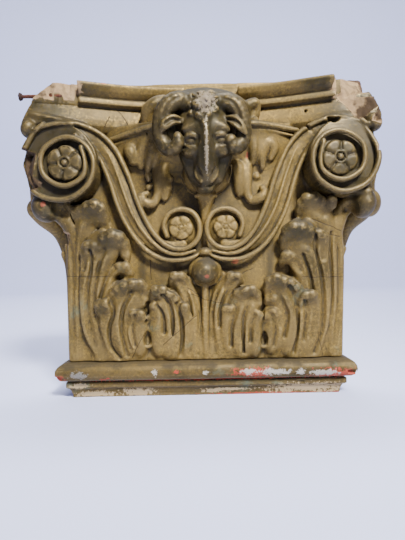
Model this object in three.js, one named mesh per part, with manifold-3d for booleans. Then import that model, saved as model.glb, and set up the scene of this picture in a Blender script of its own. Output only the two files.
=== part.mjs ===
// Gilt capital of a flat pilaster: acanthus leaves, two S-scrolls that end in corner volutes, a concave
// abacus and a ram's head, on a mitred base moulding, with a flat board behind the abacus.
// Millimetres, +Z up, +X to the viewer's right, front towards -Y. The origin is the middle of the underside.
// Depths are measured forward from the flat back; at() turns (across, depth, height) into the part's frame.

import * as THREE from 'three';
import { mergeVertices } from 'three/addons/utils/BufferGeometryUtils.js';
import Module from 'manifold-3d';

const wasm = await Module();
wasm.setup();

// Driving dimensions
const UNDERSIDE_DEPTH = 33;          // back plane to the front edge of the underside
const UNDERSIDE_HALF_WIDTH = 125;
const MOULDING_HEIGHT = 34.4;
const CAVETTO_TOP = 10;
const FILLET_TOP = 16.3;
const FILLET_OUT = 5.5;              // how far the fillet stands out past the underside
const TORUS_OUT = 14;
const GAP = 0.3;                     // clearance between neighbouring pieces
const SLIVER = 0.2;                 // facets thinner than this are closed up

const BELL_BOTTOM_HALF_WIDTH = 126;
const BELL_TOP_HALF_WIDTH = 131.5;
const BELL_SHOULDER_HEIGHT = 150;
const BELL_DEPTH = 36;
const BELL_CROWN = 2;                // the bell's face is this much deeper in the middle
const RIM_HEIGHT = 246;              // the lip of the bell, under the abacus
const RIM_HALF_WIDTH = 84;
const RIM_REACH = 22;                // how far the lip stands forward in the middle

const ABACUS_BOTTOM = 250;
const ABACUS_TOP = 289;
const ABACUS_MIDDLE_DEPTH = 39;      // depth of the hollow abacus in its middle
const ABACUS_CORNER_DEPTH = 25;      // how much deeper it is at HOLLOW_AT
const HOLLOW_AT = 120;
const ABACUS_HALF_WIDTH = 156;
const FRIEZE_TOP = 268;
const FILLET_CROWN = 273;
const OVOLO_BOTTOM = 272;
const LEFT_OVOLO_END = -110;         // the ovolo is broken off beyond these two
const RIGHT_OVOLO_END = 122;

const BOARD_TOP = 300;
const BOARD_BOTTOM = 257;
const BOARD_THICKNESS = 24;
const BOARD_HALF_WIDTH = 156;
const BOARD_RIGHT_FOOT = 162;        // its lower right corner runs out further

const VOLUTE_X = 121.5;
const VOLUTE_Z = 215;
const VOLUTE_RADIUS = 35.5;
const VOLUTE_DEPTH = 61;
const RING_RADIUS = 20.5;
const ROSETTE_RADIUS = 16.5;
const RETURN_TURN = THREE.MathUtils.degToRad(21);  // the side volutes face a little forward
const RETURN_RADIUS = 38;
const RETURN_X = 160;                // middle of the side volutes
const RETURN_DEPTH = 22;
const NECK_REACH = 156;              // the block that joins the front and the side volute
const NECK_DEPTH = 48;

const SMALL_VOLUTE_X = 20.6;
const SMALL_VOLUTE_Z = 157.6;
const SMALL_VOLUTE_RADIUS = 17;
const SMALL_VOLUTE_DEPTH = 46;

const SCROLL_WIDTH = 17.5;
const PETALS = 5;
const RIGHT_RISE = 4;                // the leaves on the right stand this much higher

const NAIL_RADIUS = 1.7;
const NAIL_HEAD_RADIUS = 4;
const NAIL_DEPTH = 53;
const NAIL_Z = 277;
const NAIL_TIP_X = -128;
const NAIL_HEAD_X = -163;

// Frame and solids

function at(x, depth, z) {
  return new THREE.Vector3(x, UNDERSIDE_DEPTH / 2 - depth, z);
}

// A mapping that mirrors a shape turns its faces inwards, so those are turned out again.
function solid(geometry) {
  const bare = geometry.index ? geometry.toNonIndexed() : geometry.clone();
  bare.deleteAttribute('normal');
  bare.deleteAttribute('uv');
  const merged = mergeVertices(bare, 1e-4);
  const vertProperties = new Float32Array(merged.attributes.position.array);
  const triVerts = new Uint32Array(merged.index.array);
  const made = new wasm.Manifold(new wasm.Mesh({ numProp: 3, vertProperties, triVerts }));
  if (made.volume() > 0) {
    return made;
  }
  triVerts.reverse();
  return new wasm.Manifold(new wasm.Mesh({ numProp: 3, vertProperties, triVerts }));
}

function joined(solids) {
  return solids.reduce((whole, next) => whole.add(next));
}

// Slivers are closed up and crumbs that a cut leaves loose fall away, so only the main body stays.
function largest(manifold) {
  const pieces = manifold.simplify(SLIVER).decompose();
  return pieces.reduce((best, next) => (next.volume() > best.volume() ? next : best));
}

function meshFrom(name, manifold, material) {
  const { vertProperties, triVerts } = manifold.getMesh();
  const geometry = new THREE.BufferGeometry();
  geometry.setAttribute('position', new THREE.BufferAttribute(new Float32Array(vertProperties), 3));
  geometry.setIndex(new THREE.BufferAttribute(new Uint32Array(triVerts), 1));
  geometry.computeVertexNormals();
  const mesh = new THREE.Mesh(geometry, material);
  mesh.name = name;
  return mesh;
}

function moved(geometry, place) {
  const positions = geometry.attributes.position;
  const point = new THREE.Vector3();
  for (let i = 0; i < positions.count; i += 1) {
    point.fromBufferAttribute(positions, i);
    const target = place(point);
    positions.setXYZ(i, target.x, target.y, target.z);
  }
  return geometry;
}

function smooth(low, high, value) {
  return THREE.MathUtils.smoothstep(value, low, high);
}

// A block between several heights: its front follows front(x, z) and its ends follow edges(z).
function faced({ columns, levels, edges, front }) {
  const plan = new THREE.Shape();
  plan.moveTo(0, 0);
  for (let i = 0; i <= columns; i += 1) {
    plan.lineTo(i / columns, 1);
  }
  plan.lineTo(1, 0);
  plan.closePath();
  const steps = levels.length - 1;
  const block = new THREE.ExtrudeGeometry(plan, { depth: 1, steps, bevelEnabled: false });
  return solid(moved(block, (p) => {
    const z = levels[Math.round(p.z * steps)];
    const [left, right] = edges(z);
    const x = THREE.MathUtils.lerp(left, right, p.x);
    return at(x, p.y < 0.5 ? 0 : front(x, z), z);
  }));
}

// A rounded lobe along a curve: widths and heights are half sizes along it, from its root to its tip.
function lobe(points, widths, heights, { sides = 5, steps = 6 } = {}) {
  const path = new THREE.CatmullRomCurve3(points.map(([x, depth, z]) => at(x, depth, z)));
  const along = (list, t) => {
    const place = t * (list.length - 1);
    const low = Math.min(Math.floor(place), list.length - 2);
    return THREE.MathUtils.lerp(list[low], list[low + 1], place - low);
  };
  const ball = new THREE.SphereGeometry(1, sides, steps);
  return solid(moved(ball, (p) => {
    const t = Math.acos(THREE.MathUtils.clamp(p.y, -1, 1)) / Math.PI;
    const ring = Math.hypot(p.x, p.z);
    const tangent = path.getTangent(t);
    const outward = new THREE.Vector3(0, -1, 0).addScaledVector(tangent, tangent.y).normalize();
    const across = new THREE.Vector3().crossVectors(tangent, outward);
    const centre = path.getPoint(t);
    if (ring < 1e-5) {
      return centre;
    }
    const full = Math.sqrt(ring) / ring;
    return centre
      .addScaledVector(across, -p.x * full * along(widths, t))
      .addScaledVector(outward, p.z * full * along(heights, t));
  }));
}

// An egg-shaped lump; sizes are half sizes across, in depth and in height.
function lump(x, depth, z, halfX, halfDepth, halfZ, { turn = 0, sides = 8, steps = 5 } = {}) {
  const ball = new THREE.SphereGeometry(1, sides, steps);
  const c = Math.cos(turn);
  const s = Math.sin(turn);
  return solid(moved(ball, (p) => {
    const across = p.x * halfX;
    const up = p.y * halfZ;
    return at(x + across * c - up * s, depth + p.z * halfDepth, z + across * s + up * c);
  }));
}

// A turned form whose axis points forward: profile rows are [radius, depth], from the axis back to the axis.
function turned(profile, x, z, segments = 18) {
  const lathe = new THREE.LatheGeometry(profile.map(([r, d]) => new THREE.Vector2(r, d)), segments);
  return solid(moved(lathe, (p) => at(x + p.z, p.y, z + p.x)));
}

// A band with raised edges and a raised middle, swept along a route of [x, depth, z].
function scrollBand(route, width, rise, steps) {
  const half = width / 2;
  const section = new THREE.Shape();
  section.moveTo(-half, -8);
  section.lineTo(-half * 0.95, rise);
  section.lineTo(-half * 0.5, rise * 0.2);
  section.lineTo(0, rise * 0.8);
  section.lineTo(half * 0.5, rise * 0.2);
  section.lineTo(half * 0.95, rise);
  section.lineTo(half, -8);
  section.closePath();
  const flat = new THREE.ExtrudeGeometry(section, { depth: 1, steps, bevelEnabled: false });
  const path = new THREE.CatmullRomCurve3(route.map(([x, depth, z]) => at(x, depth, z)));
  return solid(moved(flat, (p) => {
    const tangent = path.getTangent(p.z);
    const outward = new THREE.Vector3(0, -1, 0).addScaledVector(tangent, tangent.y).normalize();
    const across = new THREE.Vector3().crossVectors(tangent, outward);
    return path.getPoint(p.z).addScaledVector(across, -p.x).addScaledVector(outward, p.y);
  }));
}

// A slab for cutting: centre, half sizes and turns about the forward axis and the upright axis.
function cutter(x, depth, z, halfX, halfDepth, halfZ, roll = 0, yaw = 0) {
  const box = new THREE.BoxGeometry(2 * halfX, 2 * halfDepth, 2 * halfZ);
  box.rotateY(-roll);
  box.rotateZ(yaw);
  const place = at(x, depth, z);
  box.translate(place.x, place.y, place.z);
  return solid(box);
}

// Mirrors a list of [x, depth, z] onto one side: -1 for the left and +1 for the right.
function onSide(side, points) {
  return points.map(([x, depth, z]) => [side * x, depth, z]);
}

// Base moulding: an underside, a hollow cavetto, a fillet and a half-round torus, mitred at both corners

function baseMoulding() {
  const profile = [[0, 0], [0, 1.5]];
  const hollowSteps = 4;
  for (let i = 1; i <= hollowSteps; i += 1) {
    const turn = (i / hollowSteps) * Math.PI / 2;
    profile.push([(1 - Math.cos(turn)) * FILLET_OUT * 0.8, 1.5 + Math.sin(turn) * (CAVETTO_TOP - 1.5)]);
  }
  profile.push([FILLET_OUT, CAVETTO_TOP + 0.4], [FILLET_OUT, FILLET_TOP - 0.6]);
  profile.push([FILLET_OUT - 1.2, FILLET_TOP]);
  const torusRadius = (MOULDING_HEIGHT - FILLET_TOP) / 2;
  const roundSteps = 8;
  for (let i = 1; i < roundSteps; i += 1) {
    const turn = -Math.PI / 2 + (i / roundSteps) * Math.PI;
    profile.push([
      TORUS_OUT - torusRadius + Math.cos(turn) * torusRadius,
      FILLET_TOP + torusRadius * (1 + Math.sin(turn)),
    ]);
  }
  profile.push([TORUS_OUT - torusRadius, MOULDING_HEIGHT]);
  const levels = profile.length - 1;
  const box = new THREE.BoxGeometry(2, 1, 1, 1, 1, levels);
  return solid(moved(box, (p) => {
    const [out, z] = profile[Math.round((p.z + 0.5) * levels)];
    const x = Math.sign(p.x) * (UNDERSIDE_HALF_WIDTH + out);
    return at(x, p.y > 0 ? 0 : UNDERSIDE_DEPTH + out, z);
  }));
}

// Capital: the plain mass

function bellHalfWidth(z) {
  const rise = (z - MOULDING_HEIGHT) / (BELL_SHOULDER_HEIGHT - MOULDING_HEIGHT);
  const straight = THREE.MathUtils.lerp(BELL_BOTTOM_HALF_WIDTH, BELL_TOP_HALF_WIDTH, Math.min(rise, 1));
  return straight + 12 * smooth(BELL_SHOULDER_HEIGHT, 190, z);
}

function bellFront(x, z) {
  const crown = BELL_CROWN * (1 - (x / BELL_BOTTOM_HALF_WIDTH) ** 2);
  const lip = Math.max(0, 1 - (x / RIM_HALF_WIDTH) ** 2) * RIM_REACH;
  return BELL_DEPTH + crown + lip * smooth(196, RIM_HEIGHT, z) ** 1.5;
}

function bell() {
  const levels = [MOULDING_HEIGHT + GAP, 90, BELL_SHOULDER_HEIGHT, 172, 196, 214, 228, 239, RIM_HEIGHT];
  return faced({
    columns: 10,
    levels,
    edges: (z) => [-bellHalfWidth(z), bellHalfWidth(z)],
    front: bellFront,
  });
}

function abacusFace(x) {
  return ABACUS_MIDDLE_DEPTH + ABACUS_CORNER_DEPTH * (x / HOLLOW_AT) ** 2;
}

function abacus() {
  const inset = (z) => {
    if (z > FILLET_CROWN) {
      return 13;
    }
    return z > FRIEZE_TOP ? 4.5 : 10 - 3 * smooth(264, ABACUS_BOTTOM, z);
  };
  const body = faced({
    columns: 12,
    levels: [RIM_HEIGHT - 1, ABACUS_BOTTOM, 259, FRIEZE_TOP, FRIEZE_TOP + 1.3, FILLET_CROWN,
      FILLET_CROWN + 2.3],
    edges: (z) => [-ABACUS_HALF_WIDTH - 4 * smooth(262, ABACUS_BOTTOM, z), ABACUS_HALF_WIDTH + 4],
    front: (x, z) => Math.min(abacusFace(x), 66) - inset(z),
  });
  const ovolo = (left, right) => faced({
    columns: 6,
    levels: [OVOLO_BOTTOM, 277, 282, ABACUS_TOP - 2, ABACUS_TOP],
    edges: () => [left, right],
    front: (x, z) => {
      const round = Math.sqrt(Math.max(0, 1 - ((z - 286) / 14) ** 2));
      return abacusFace(x) - 9 + 9 * round;
    },
  });
  const core = faced({
    columns: 10,
    levels: [OVOLO_BOTTOM - 1.1, ABACUS_TOP - 1],
    edges: (z) => {
      const up = z - OVOLO_BOTTOM;
      return [2.2 * up - ABACUS_HALF_WIDTH, ABACUS_HALF_WIDTH - 0.6 * up];
    },
    front: (x) => Math.min(abacusFace(x), 62) - 11,
  });
  return joined([body, core, ovolo(LEFT_OVOLO_END, -16), ovolo(36, RIGHT_OVOLO_END)]);
}

// Capital: volutes and scrolls

// A turned flower whose edge swells into petals, with a boss in the middle.
function rosette(x, z, radius, depth, rows) {
  const segments = 4 * PETALS;
  const lathe = new THREE.LatheGeometry(rows.map(([r, d]) => new THREE.Vector2(r * radius, d)), segments);
  return solid(moved(lathe, (p) => {
    const angle = Math.atan2(p.z, p.x);
    const swell = 0.8 + 0.2 * Math.abs(Math.cos(angle * PETALS / 2));
    return at(x + p.z * swell, depth + p.y, z + p.x * swell);
  }));
}

function cornerVolute(side) {
  const x = side * VOLUTE_X;
  const face = VOLUTE_DEPTH - 5;
  const drum = turned([
    [0, 8], [VOLUTE_RADIUS - 2, 8], [VOLUTE_RADIUS + 0.5, face - 2], [VOLUTE_RADIUS - 2, VOLUTE_DEPTH - 1],
    [VOLUTE_RADIUS - 6.5, face - 3], [RING_RADIUS + 3.5, face - 3],
    [RING_RADIUS + 1, VOLUTE_DEPTH], [ROSETTE_RADIUS + 1, face - 3], [0, face - 3],
  ], x, VOLUTE_Z, 18);
  const turning = side * (Math.PI / 2 - RETURN_TURN);
  const disc = new THREE.LatheGeometry([
    [0, -14], [RETURN_RADIUS - 2, -14], [RETURN_RADIUS, 4], [RETURN_RADIUS - 3, 7],
    [RETURN_RADIUS - 9, 3], [RING_RADIUS, 3], [ROSETTE_RADIUS - 2, 7], [0, 8],
  ].map(([r, d]) => new THREE.Vector2(r, d)), 14);
  const outX = Math.sin(turning);
  const outDepth = Math.cos(turning);
  const returned = solid(moved(disc, (p) => at(
    side * RETURN_X + p.y * outX + p.x * outDepth * side,
    RETURN_DEPTH + p.y * outDepth - p.x * Math.abs(outX),
    VOLUTE_Z - 1 - side * p.z,
  )));
  const neck = faced({
    columns: 2,
    levels: [190, 200, 232, 246],
    edges: (z) => {
      const outer = side * (NECK_REACH - Math.abs(z - VOLUTE_Z) * 0.3);
      return [Math.min(outer, side * VOLUTE_X), Math.max(outer, side * VOLUTE_X)];
    },
    front: () => NECK_DEPTH,
  });
  const flower = rosette(x, VOLUTE_Z, ROSETTE_RADIUS, VOLUTE_DEPTH,
    [[0, -10], [1, -10], [0.95, -2], [0.6, 1], [0.3, -2], [0, 2]]);
  return joined([drum, returned, neck, flower]);
}

function smallVolute(side) {
  const x = side * SMALL_VOLUTE_X;
  const depth = SMALL_VOLUTE_DEPTH;
  const disc = turned([
    [0, 34], [SMALL_VOLUTE_RADIUS, 34], [SMALL_VOLUTE_RADIUS - 1.5, depth],
    [SMALL_VOLUTE_RADIUS - 3.6, depth - 1], [SMALL_VOLUTE_RADIUS - 5, depth - 5], [0, depth - 5],
  ], x, SMALL_VOLUTE_Z, 14);
  const rows = [[0, -6], [1, -6], [0.7, 0], [0.3, -1.5], [0, 1]];
  return disc.add(rosette(x, SMALL_VOLUTE_Z, 10, depth - 1, rows));
}

function sScroll(side) {
  const route = onSide(side, [
    [121, 56, 245], [108, 51, 244], [95, 47, 239], [83, 45, 228], [75, 44, 213], [70, 43, 195], [65, 43, 177],
    [58, 43, 158], [47, 43, 143], [33, 43.5, 135], [20, 44, 134],
  ]);
  return scrollBand(route, SCROLL_WIDTH, 4, 13);
}

function underVolute(side) {
  const stem = [[118, 36, 128], [124, 38, 158], [136, 44, 178], [146, 52, 180], [146, 50, 170]];
  const curl = lobe(onSide(side, stem), [6, 9, 12, 12, 9], [4, 7, 10, 9, 7]);
  const returned = lobe(onSide(side, [[132, 10, 120], [138, 14, 160], [152, 22, 178], [160, 24, 172]]),
    [8, 12, 14, 10], [8, 10, 10, 9], { sides: 6, steps: 5 });
  const knob = lump(side * 153, 56, 246, 7, 8, 7.5, { sides: 8, steps: 6 });
  return joined([curl, returned, knob]);
}

// The swelling under a leaf that its ribs and crests lie on.
function blade(side, x, z, halfX, halfZ, lean) {
  return lump(side * x, BELL_DEPTH - 1, z, halfX, 9, halfZ, { turn: side * lean, sides: 8, steps: 4 });
}

// Capital: leaves. Ribs rise from the foot of the bell and end in a crest that rolls over forwards.
// Points are [distance from the middle, depth, height]; the right side stands a little higher.

function rib(side, points, width = 5) {
  const routed = onSide(side, points);
  return lobe(routed, [width * 0.7, width, width * 1.15, width], [4, 5.5, 7, 6], { sides: 5, steps: 5 });
}

function crest(side, points, radius = 5.5, steps = 5) {
  const thick = radius * 1.15;
  return lobe(onSide(side, points), [thick, thick, thick], [thick, radius * 1.3, thick], { steps });
}

function cornerLeaf(side, rise) {
  return joined([
    rib(side, [[125, 33, 40], [124, 36, 100], [121, 38, 150], [114, 44, 172 + rise]], 5),
    rib(side, [[117, 34, 40], [116, 37, 100], [108, 40, 150], [101, 45, 172 + rise]], 6.5),
    crest(side, [[117, 44, 174 + rise], [109, 48, 177 + rise], [99, 48, 180 + rise], [91, 46, 175 + rise],
      [88, 43, 168 + rise]], 5.5),
    crest(side, [[97, 41, 168 + rise], [90, 43, 166 + rise], [85, 42, 161 + rise]], 4.2, 4),
  ]);
}

function tallLeaf(side, rise) {
  return joined([
    rib(side, [[104, 34, 38], [114, 37, 77], [113, 41, 110], [107, 46, 142 + rise]], 5.5),
    rib(side, [[92, 34, 38], [102, 38, 84], [99, 42, 116], [92, 46, 146 + rise]], 7),
    rib(side, [[90, 35, 70], [91, 39, 100], [84, 42, 124], [79, 46, 148 + rise]], 6),
    blade(side, 98, 112, 19, 46, 0.12),
    crest(side, [[110, 43, 134 + rise], [107, 48, 145 + rise], [97, 49, 148 + rise]], 6, 4),
    crest(side, [[99, 48, 149 + rise], [88, 50, 155 + rise], [77, 50, 153 + rise],
      [71, 46, 143 + rise]], 6.2),
    crest(side, [[90, 38, 114 + rise], [82, 43, 125 + rise], [74, 45, 128 + rise],
      [68, 43, 120 + rise]], 4.8),
    crest(side, [[78, 41, 137 + rise], [71, 43, 136 + rise]], 4, 3),
  ]);
}

function outerHalfLeaf(side, rise) {
  return joined([
    rib(side, [[87, 34, 37], [94, 38, 60], [93, 42, 78], [91, 46, 91 + rise]], 6),
    rib(side, [[76, 34, 37], [80, 39, 66], [77, 43, 88], [71, 47, 105 + rise]], 7.5),
    rib(side, [[66, 34, 37], [68, 38, 52], [66, 42, 68], [61, 44, 78]], 6),
    blade(side, 75, 74, 24, 36, 0.1),
    crest(side, [[101, 43, 86 + rise], [97, 48, 93 + rise], [88, 49, 95 + rise]], 6, 4),
    crest(side, [[86, 45, 98 + rise], [77, 49, 107 + rise], [66, 50, 112 + rise], [56, 49, 110 + rise],
      [53, 46, 101 + rise]], 5.6),
    crest(side, [[71, 42, 76], [66, 46, 82], [58, 46, 82], [54, 43, 77]], 4.6),
    crest(side, [[57, 43, 97 + rise], [54, 44, 90 + rise]], 4, 3),
    crest(side, [[103, 38, 82], [99, 40, 72], [96, 39, 64]], 3, 4),
  ]);
}

function innerHalfLeaf(side) {
  return joined([
    rib(side, [[20, 34, 37], [22, 38, 60], [23, 42, 74], [24, 45, 88]], 5.5),
    rib(side, [[29, 34, 37], [30, 39, 64], [33, 43, 84], [38, 47, 98]], 7),
    rib(side, [[38, 34, 37], [36, 38, 52], [39, 42, 70], [46, 43, 79]], 5),
    blade(side, 32, 70, 17, 34, -0.06),
    crest(side, [[48, 45, 97], [43, 49, 103], [34, 49, 102], [27, 47, 94], [23, 45, 88]], 5.2),
    crest(side, [[50, 41, 88], [44, 44, 90], [37, 43, 82]], 3.8, 4),
    lump(side * 19, 46, 85.5, 5, 6, 5, { sides: 7, steps: 4 }),
    crest(side, [[14, 40, 79], [14, 42, 69], [16, 38, 58]], 3.4, 4),
  ]);
}

// The drop-shaped eye where the two halves of a leaf meet.
function leafEye(side) {
  const ring = new THREE.TorusGeometry(6, 1.9, 4, 10);
  return solid(moved(ring, (p) => {
    const pinch = 1 - 0.45 * Math.max(0, p.y / 6);
    return at(side * (53 + p.x * 0.9 * pinch), 39.5 + p.z, 57 + p.y * 1.5);
  }));
}

function middleLeaf() {
  const parts = [];
  for (const side of [-1, 1]) {
    parts.push(
      rib(side, [[7, 34, 37], [9, 39, 76], [14, 43, 98], [24, 46, 113]], 5),
      rib(side, [[13, 34, 37], [14, 37, 66], [19, 40, 90], [29, 43, 106]], 4.5),
      crest(side, [[32, 44, 108], [29, 48, 115], [22, 48, 117], [16, 45, 112]], 4.8),
      crest(side, [[6, 42, 100], [12, 47, 112], [17, 48, 123]], 4.6, 4),
    );
  }
  parts.push(
    lobe([[0, 35, 36], [0, 41, 70], [0, 43, 104]], [3.5, 3.5, 3], [5, 5, 4], { sides: 6, steps: 4 }),
    lump(0.5, 48, 117, 12.5, 11, 11, { sides: 9, steps: 5 }),
    lump(0.5, 43, 134.5, 6.5, 7, 4.5, { sides: 8, steps: 4 }),
    lobe([[1, 38, 138], [1, 42, 150], [1, 41, 176], [1, 42, 188]],
      [3, 3, 5, 9], [4, 4, 4, 6], { sides: 7, steps: 5 }),
  );
  return joined(parts);
}

// Capital: the spray of buds and leaves on each side of the head, and the pod below it

function sprays() {
  const parts = [lump(4, 40, 208, 23, 14, 22, { sides: 9, steps: 5 })];
  for (const side of [-1, 1]) {
    const s = (points) => onSide(side, points);
    parts.push(
      lump(side * 63, 44, 228, 7.5, 12, 9, { sides: 8, steps: 5 }),
      lobe(s([[36, 44, 262], [43, 48, 270], [50, 50, 268]]), [7, 8, 6], [8, 9, 6], { steps: 4 }),
      lobe(s([[40, 42, 256], [49, 45, 240], [56, 43, 222], [52, 40, 214]]),
        [7, 8, 8, 5], [8, 9, 8, 6], { steps: 5 }),
      lobe(s([[36, 42, 250], [43, 44, 232], [46, 42, 214]]), [6, 7, 4], [8, 8, 6], { sides: 5, steps: 5 }),
      lobe(s([[28, 38, 222], [38, 43, 212], [44, 43, 196], [50, 44, 182], [57, 45, 185]]),
        [5, 7, 6, 6, 6], [4, 6, 6, 6, 5]),
    );
  }
  return joined(parts);
}

// Capital: the ram's head

function ramHead() {
  const parts = [
    lump(2, 52, 262, 38, 22, 20, { sides: 10, steps: 5 }),
    lump(3, 60, 240, 24, 26, 26, { sides: 8, steps: 6 }),
    lobe([[3, 74, 250], [3.5, 76, 230], [4, 69, 208], [4, 58, 190], [4, 50, 186]],
      [17, 19, 14, 11, 9], [12, 14, 13, 11, 8], { sides: 9, steps: 7 }),
    lobe([[3, 84, 246], [3.5, 86, 228], [4, 78, 208], [4, 68, 193]],
      [6, 5, 4, 5], [4, 4, 4, 4], { steps: 7 }),
    lump(2, 74, 258, 12, 14, 13, { sides: 9, steps: 6 }),
    lump(4, 60, 190, 10, 9, 6, { sides: 9, steps: 5 }),
  ];
  for (const side of [-1, 1]) {
    const x = (away) => 3 + side * away;
    const horn = [[x(8), 66, 262], [x(22), 74, 268], [x(34), 74, 258], [x(38), 68, 242], [x(35), 63, 227],
      [x(27), 66, 218], [x(21), 73, 225]];
    parts.push(
      lobe(horn, [8, 8, 8, 7, 7, 6, 4], [9, 9, 9, 8, 8, 7, 4], { steps: 10 }),
      lobe([[x(12), 70, 242], [x(22), 78, 243], [x(31), 80, 236]], [5, 5, 3], [4, 4, 3], { steps: 4 }),
      lump(x(12), 77, 228, 6, 6, 4.5, { sides: 7, steps: 4 }),
      lobe([[x(5), 80, 238], [x(13), 81, 237], [x(19), 74, 232]], [3.5, 4, 3], [4, 4, 3], { steps: 4 }),
      lump(x(7), 60, 192, 3.4, 5, 3, { sides: 6, steps: 3 }),
    );
  }
  return joined(parts);
}

// Capital: what time took away

function breaks() {
  const deg = THREE.MathUtils.degToRad;
  return joined([
    // top left corner, split off down to the core
    cutter(-140, 62, 296, 32, 30, 16, deg(-24), deg(-18)),
    cutter(-158, 52, 292, 14, 60, 14, deg(34), deg(12)),
    cutter(-127, 72, 284, 17, 15, 10.5, deg(-4), deg(26)),
    // outer rim of the left volute
    cutter(-163, 66, 214, 14, 20, 17, deg(12), deg(34)),
    cutter(-159, 70, 196, 13, 14, 12, deg(-28), deg(28)),
    // outer edge of the left leaf curl
    cutter(-162, 50, 178, 4, 12, 14, deg(-10), deg(20)),
    // top right corner
    cutter(150, 66, 286, 26, 22, 12, deg(-14), deg(24)),
    cutter(142, 78, 272, 20, 18, 14, deg(-36), deg(-18)),
    cutter(166, 44, 272, 12, 50, 20, deg(-24), deg(-10)),
    cutter(154, 76, 252, 9, 14, 9, deg(20), deg(-34)),
    // the two open cracks and the nail hole
    cutter(-80, 60, 280, 0.5, 16, 14, deg(0), deg(3)),
    cutter(75.5, 60, 276, 0.8, 22, 20, deg(0), deg(-3)),
    cutter(90, 58, 248, 0.8, 14, 14, deg(46), deg(-3)),
  ]);
}

function nail(clearance) {
  const radius = NAIL_RADIUS + clearance;
  const headRadius = NAIL_HEAD_RADIUS + clearance;
  const profile = [
    [0, NAIL_TIP_X + 6 + clearance], [radius, NAIL_TIP_X - 4], [radius, NAIL_HEAD_X + 3],
    [headRadius, NAIL_HEAD_X + 1.4], [headRadius, NAIL_HEAD_X + 0.4],
    [NAIL_HEAD_RADIUS - 0.8, NAIL_HEAD_X], [0, NAIL_HEAD_X],
  ];
  const lathe = new THREE.LatheGeometry(profile.reverse().map(([r, x]) => new THREE.Vector2(r, x)), 12);
  return solid(moved(lathe, (p) => at(p.y, NAIL_DEPTH - p.x, NAIL_Z + p.z)));
}

function backBoard(clearance) {
  const outline = new THREE.Shape();
  const low = BOARD_BOTTOM - clearance;
  outline.moveTo(-BOARD_HALF_WIDTH - clearance, low);
  outline.lineTo(BOARD_RIGHT_FOOT + clearance, low);
  outline.lineTo(BOARD_RIGHT_FOOT - 2 + clearance, 272);
  outline.lineTo(BOARD_HALF_WIDTH + clearance, BOARD_TOP - 2);
  outline.lineTo(BOARD_HALF_WIDTH - 4, BOARD_TOP + clearance);
  outline.lineTo(-108, BOARD_TOP + clearance);
  outline.lineTo(-128, BOARD_TOP - 5 + clearance);
  outline.lineTo(-140, BOARD_TOP - 9 + clearance);
  outline.lineTo(-BOARD_HALF_WIDTH - clearance, BOARD_TOP - 22);
  outline.closePath();
  const thickness = BOARD_THICKNESS + 2 * clearance;
  const flat = new THREE.ExtrudeGeometry(outline, { depth: thickness, steps: 1, bevelEnabled: false });
  return solid(moved(flat, (p) => at(p.x, p.z - clearance, p.y)));
}

function capital() {
  const parts = [bell(), abacus(), middleLeaf(), sprays(), ramHead()];
  for (const side of [-1, 1]) {
    const rise = side > 0 ? RIGHT_RISE : 0;
    parts.push(cornerVolute(side), smallVolute(side), sScroll(side), underVolute(side));
    parts.push(cornerLeaf(side, rise), tallLeaf(side, 2 * rise), outerHalfLeaf(side, rise));
    parts.push(innerHalfLeaf(side), leafEye(side));
  }
  const reach = 400;
  const room = cutter(0, reach, reach + MOULDING_HEIGHT + GAP, reach, reach, reach);
  return largest(joined(parts)
    .intersect(room)
    .subtract(breaks())
    .subtract(backBoard(GAP))
    .subtract(nail(GAP)));
}

// Materials and assembly

const wornGilding = new THREE.MeshStandardMaterial({ color: 0x8a7142, roughness: 0.48, metalness: 0.55 });
const giltMoulding = new THREE.MeshStandardMaterial({ color: 0x7d6a40, roughness: 0.45, metalness: 0.5 });
const oldWood = new THREE.MeshStandardMaterial({ color: 0x8f7548, roughness: 0.6, metalness: 0.25 });
const rustyIron = new THREE.MeshStandardMaterial({ color: 0x5a2d22, roughness: 0.85, metalness: 0.4 });

const part = new THREE.Group();
part.add(meshFrom('capital', capital(), wornGilding));
part.add(meshFrom('base_moulding', baseMoulding(), giltMoulding));
part.add(meshFrom('back_board', backBoard(0), oldWood));
part.add(meshFrom('nail', nail(0), rustyIron));

export default part;
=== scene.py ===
"""Looks of the gilt pilaster capital: a carved body, its base moulding, the board behind it and a nail.

Shapes are modelled like clay: rounded strands, lumps and blocks are joined and cut on a fine lattice, and
the surface is taken off as one closed mesh. Shapes are given in millimetres as (across, depth, height), with
depth measured forward from the flat back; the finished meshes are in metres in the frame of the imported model.
"""

import math

import bpy
import numpy as np
import openvdb
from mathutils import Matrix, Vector


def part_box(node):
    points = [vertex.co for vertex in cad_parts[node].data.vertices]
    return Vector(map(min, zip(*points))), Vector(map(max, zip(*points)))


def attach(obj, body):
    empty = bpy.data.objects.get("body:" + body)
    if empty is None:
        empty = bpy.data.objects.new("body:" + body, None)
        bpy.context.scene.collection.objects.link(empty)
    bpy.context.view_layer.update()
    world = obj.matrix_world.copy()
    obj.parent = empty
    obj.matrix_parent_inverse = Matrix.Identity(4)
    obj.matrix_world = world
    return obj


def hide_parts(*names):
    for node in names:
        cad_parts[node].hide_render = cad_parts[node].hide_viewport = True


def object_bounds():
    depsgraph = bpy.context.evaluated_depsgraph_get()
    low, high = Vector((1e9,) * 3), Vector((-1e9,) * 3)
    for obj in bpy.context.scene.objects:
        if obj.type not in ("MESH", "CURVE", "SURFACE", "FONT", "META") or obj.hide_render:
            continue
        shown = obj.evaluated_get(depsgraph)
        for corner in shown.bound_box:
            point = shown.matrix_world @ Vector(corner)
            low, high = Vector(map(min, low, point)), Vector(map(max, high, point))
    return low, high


bl_info = {
    "name": "Gilt pilaster capital",
    "version": (1, 0, 0),
    "blender": (4, 5, 0),
    "location": "View3D > Sidebar > Capital",
    "description": "Models the worn gilt capital, its moulding, board and nail",
    "category": "Object",
}

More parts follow.
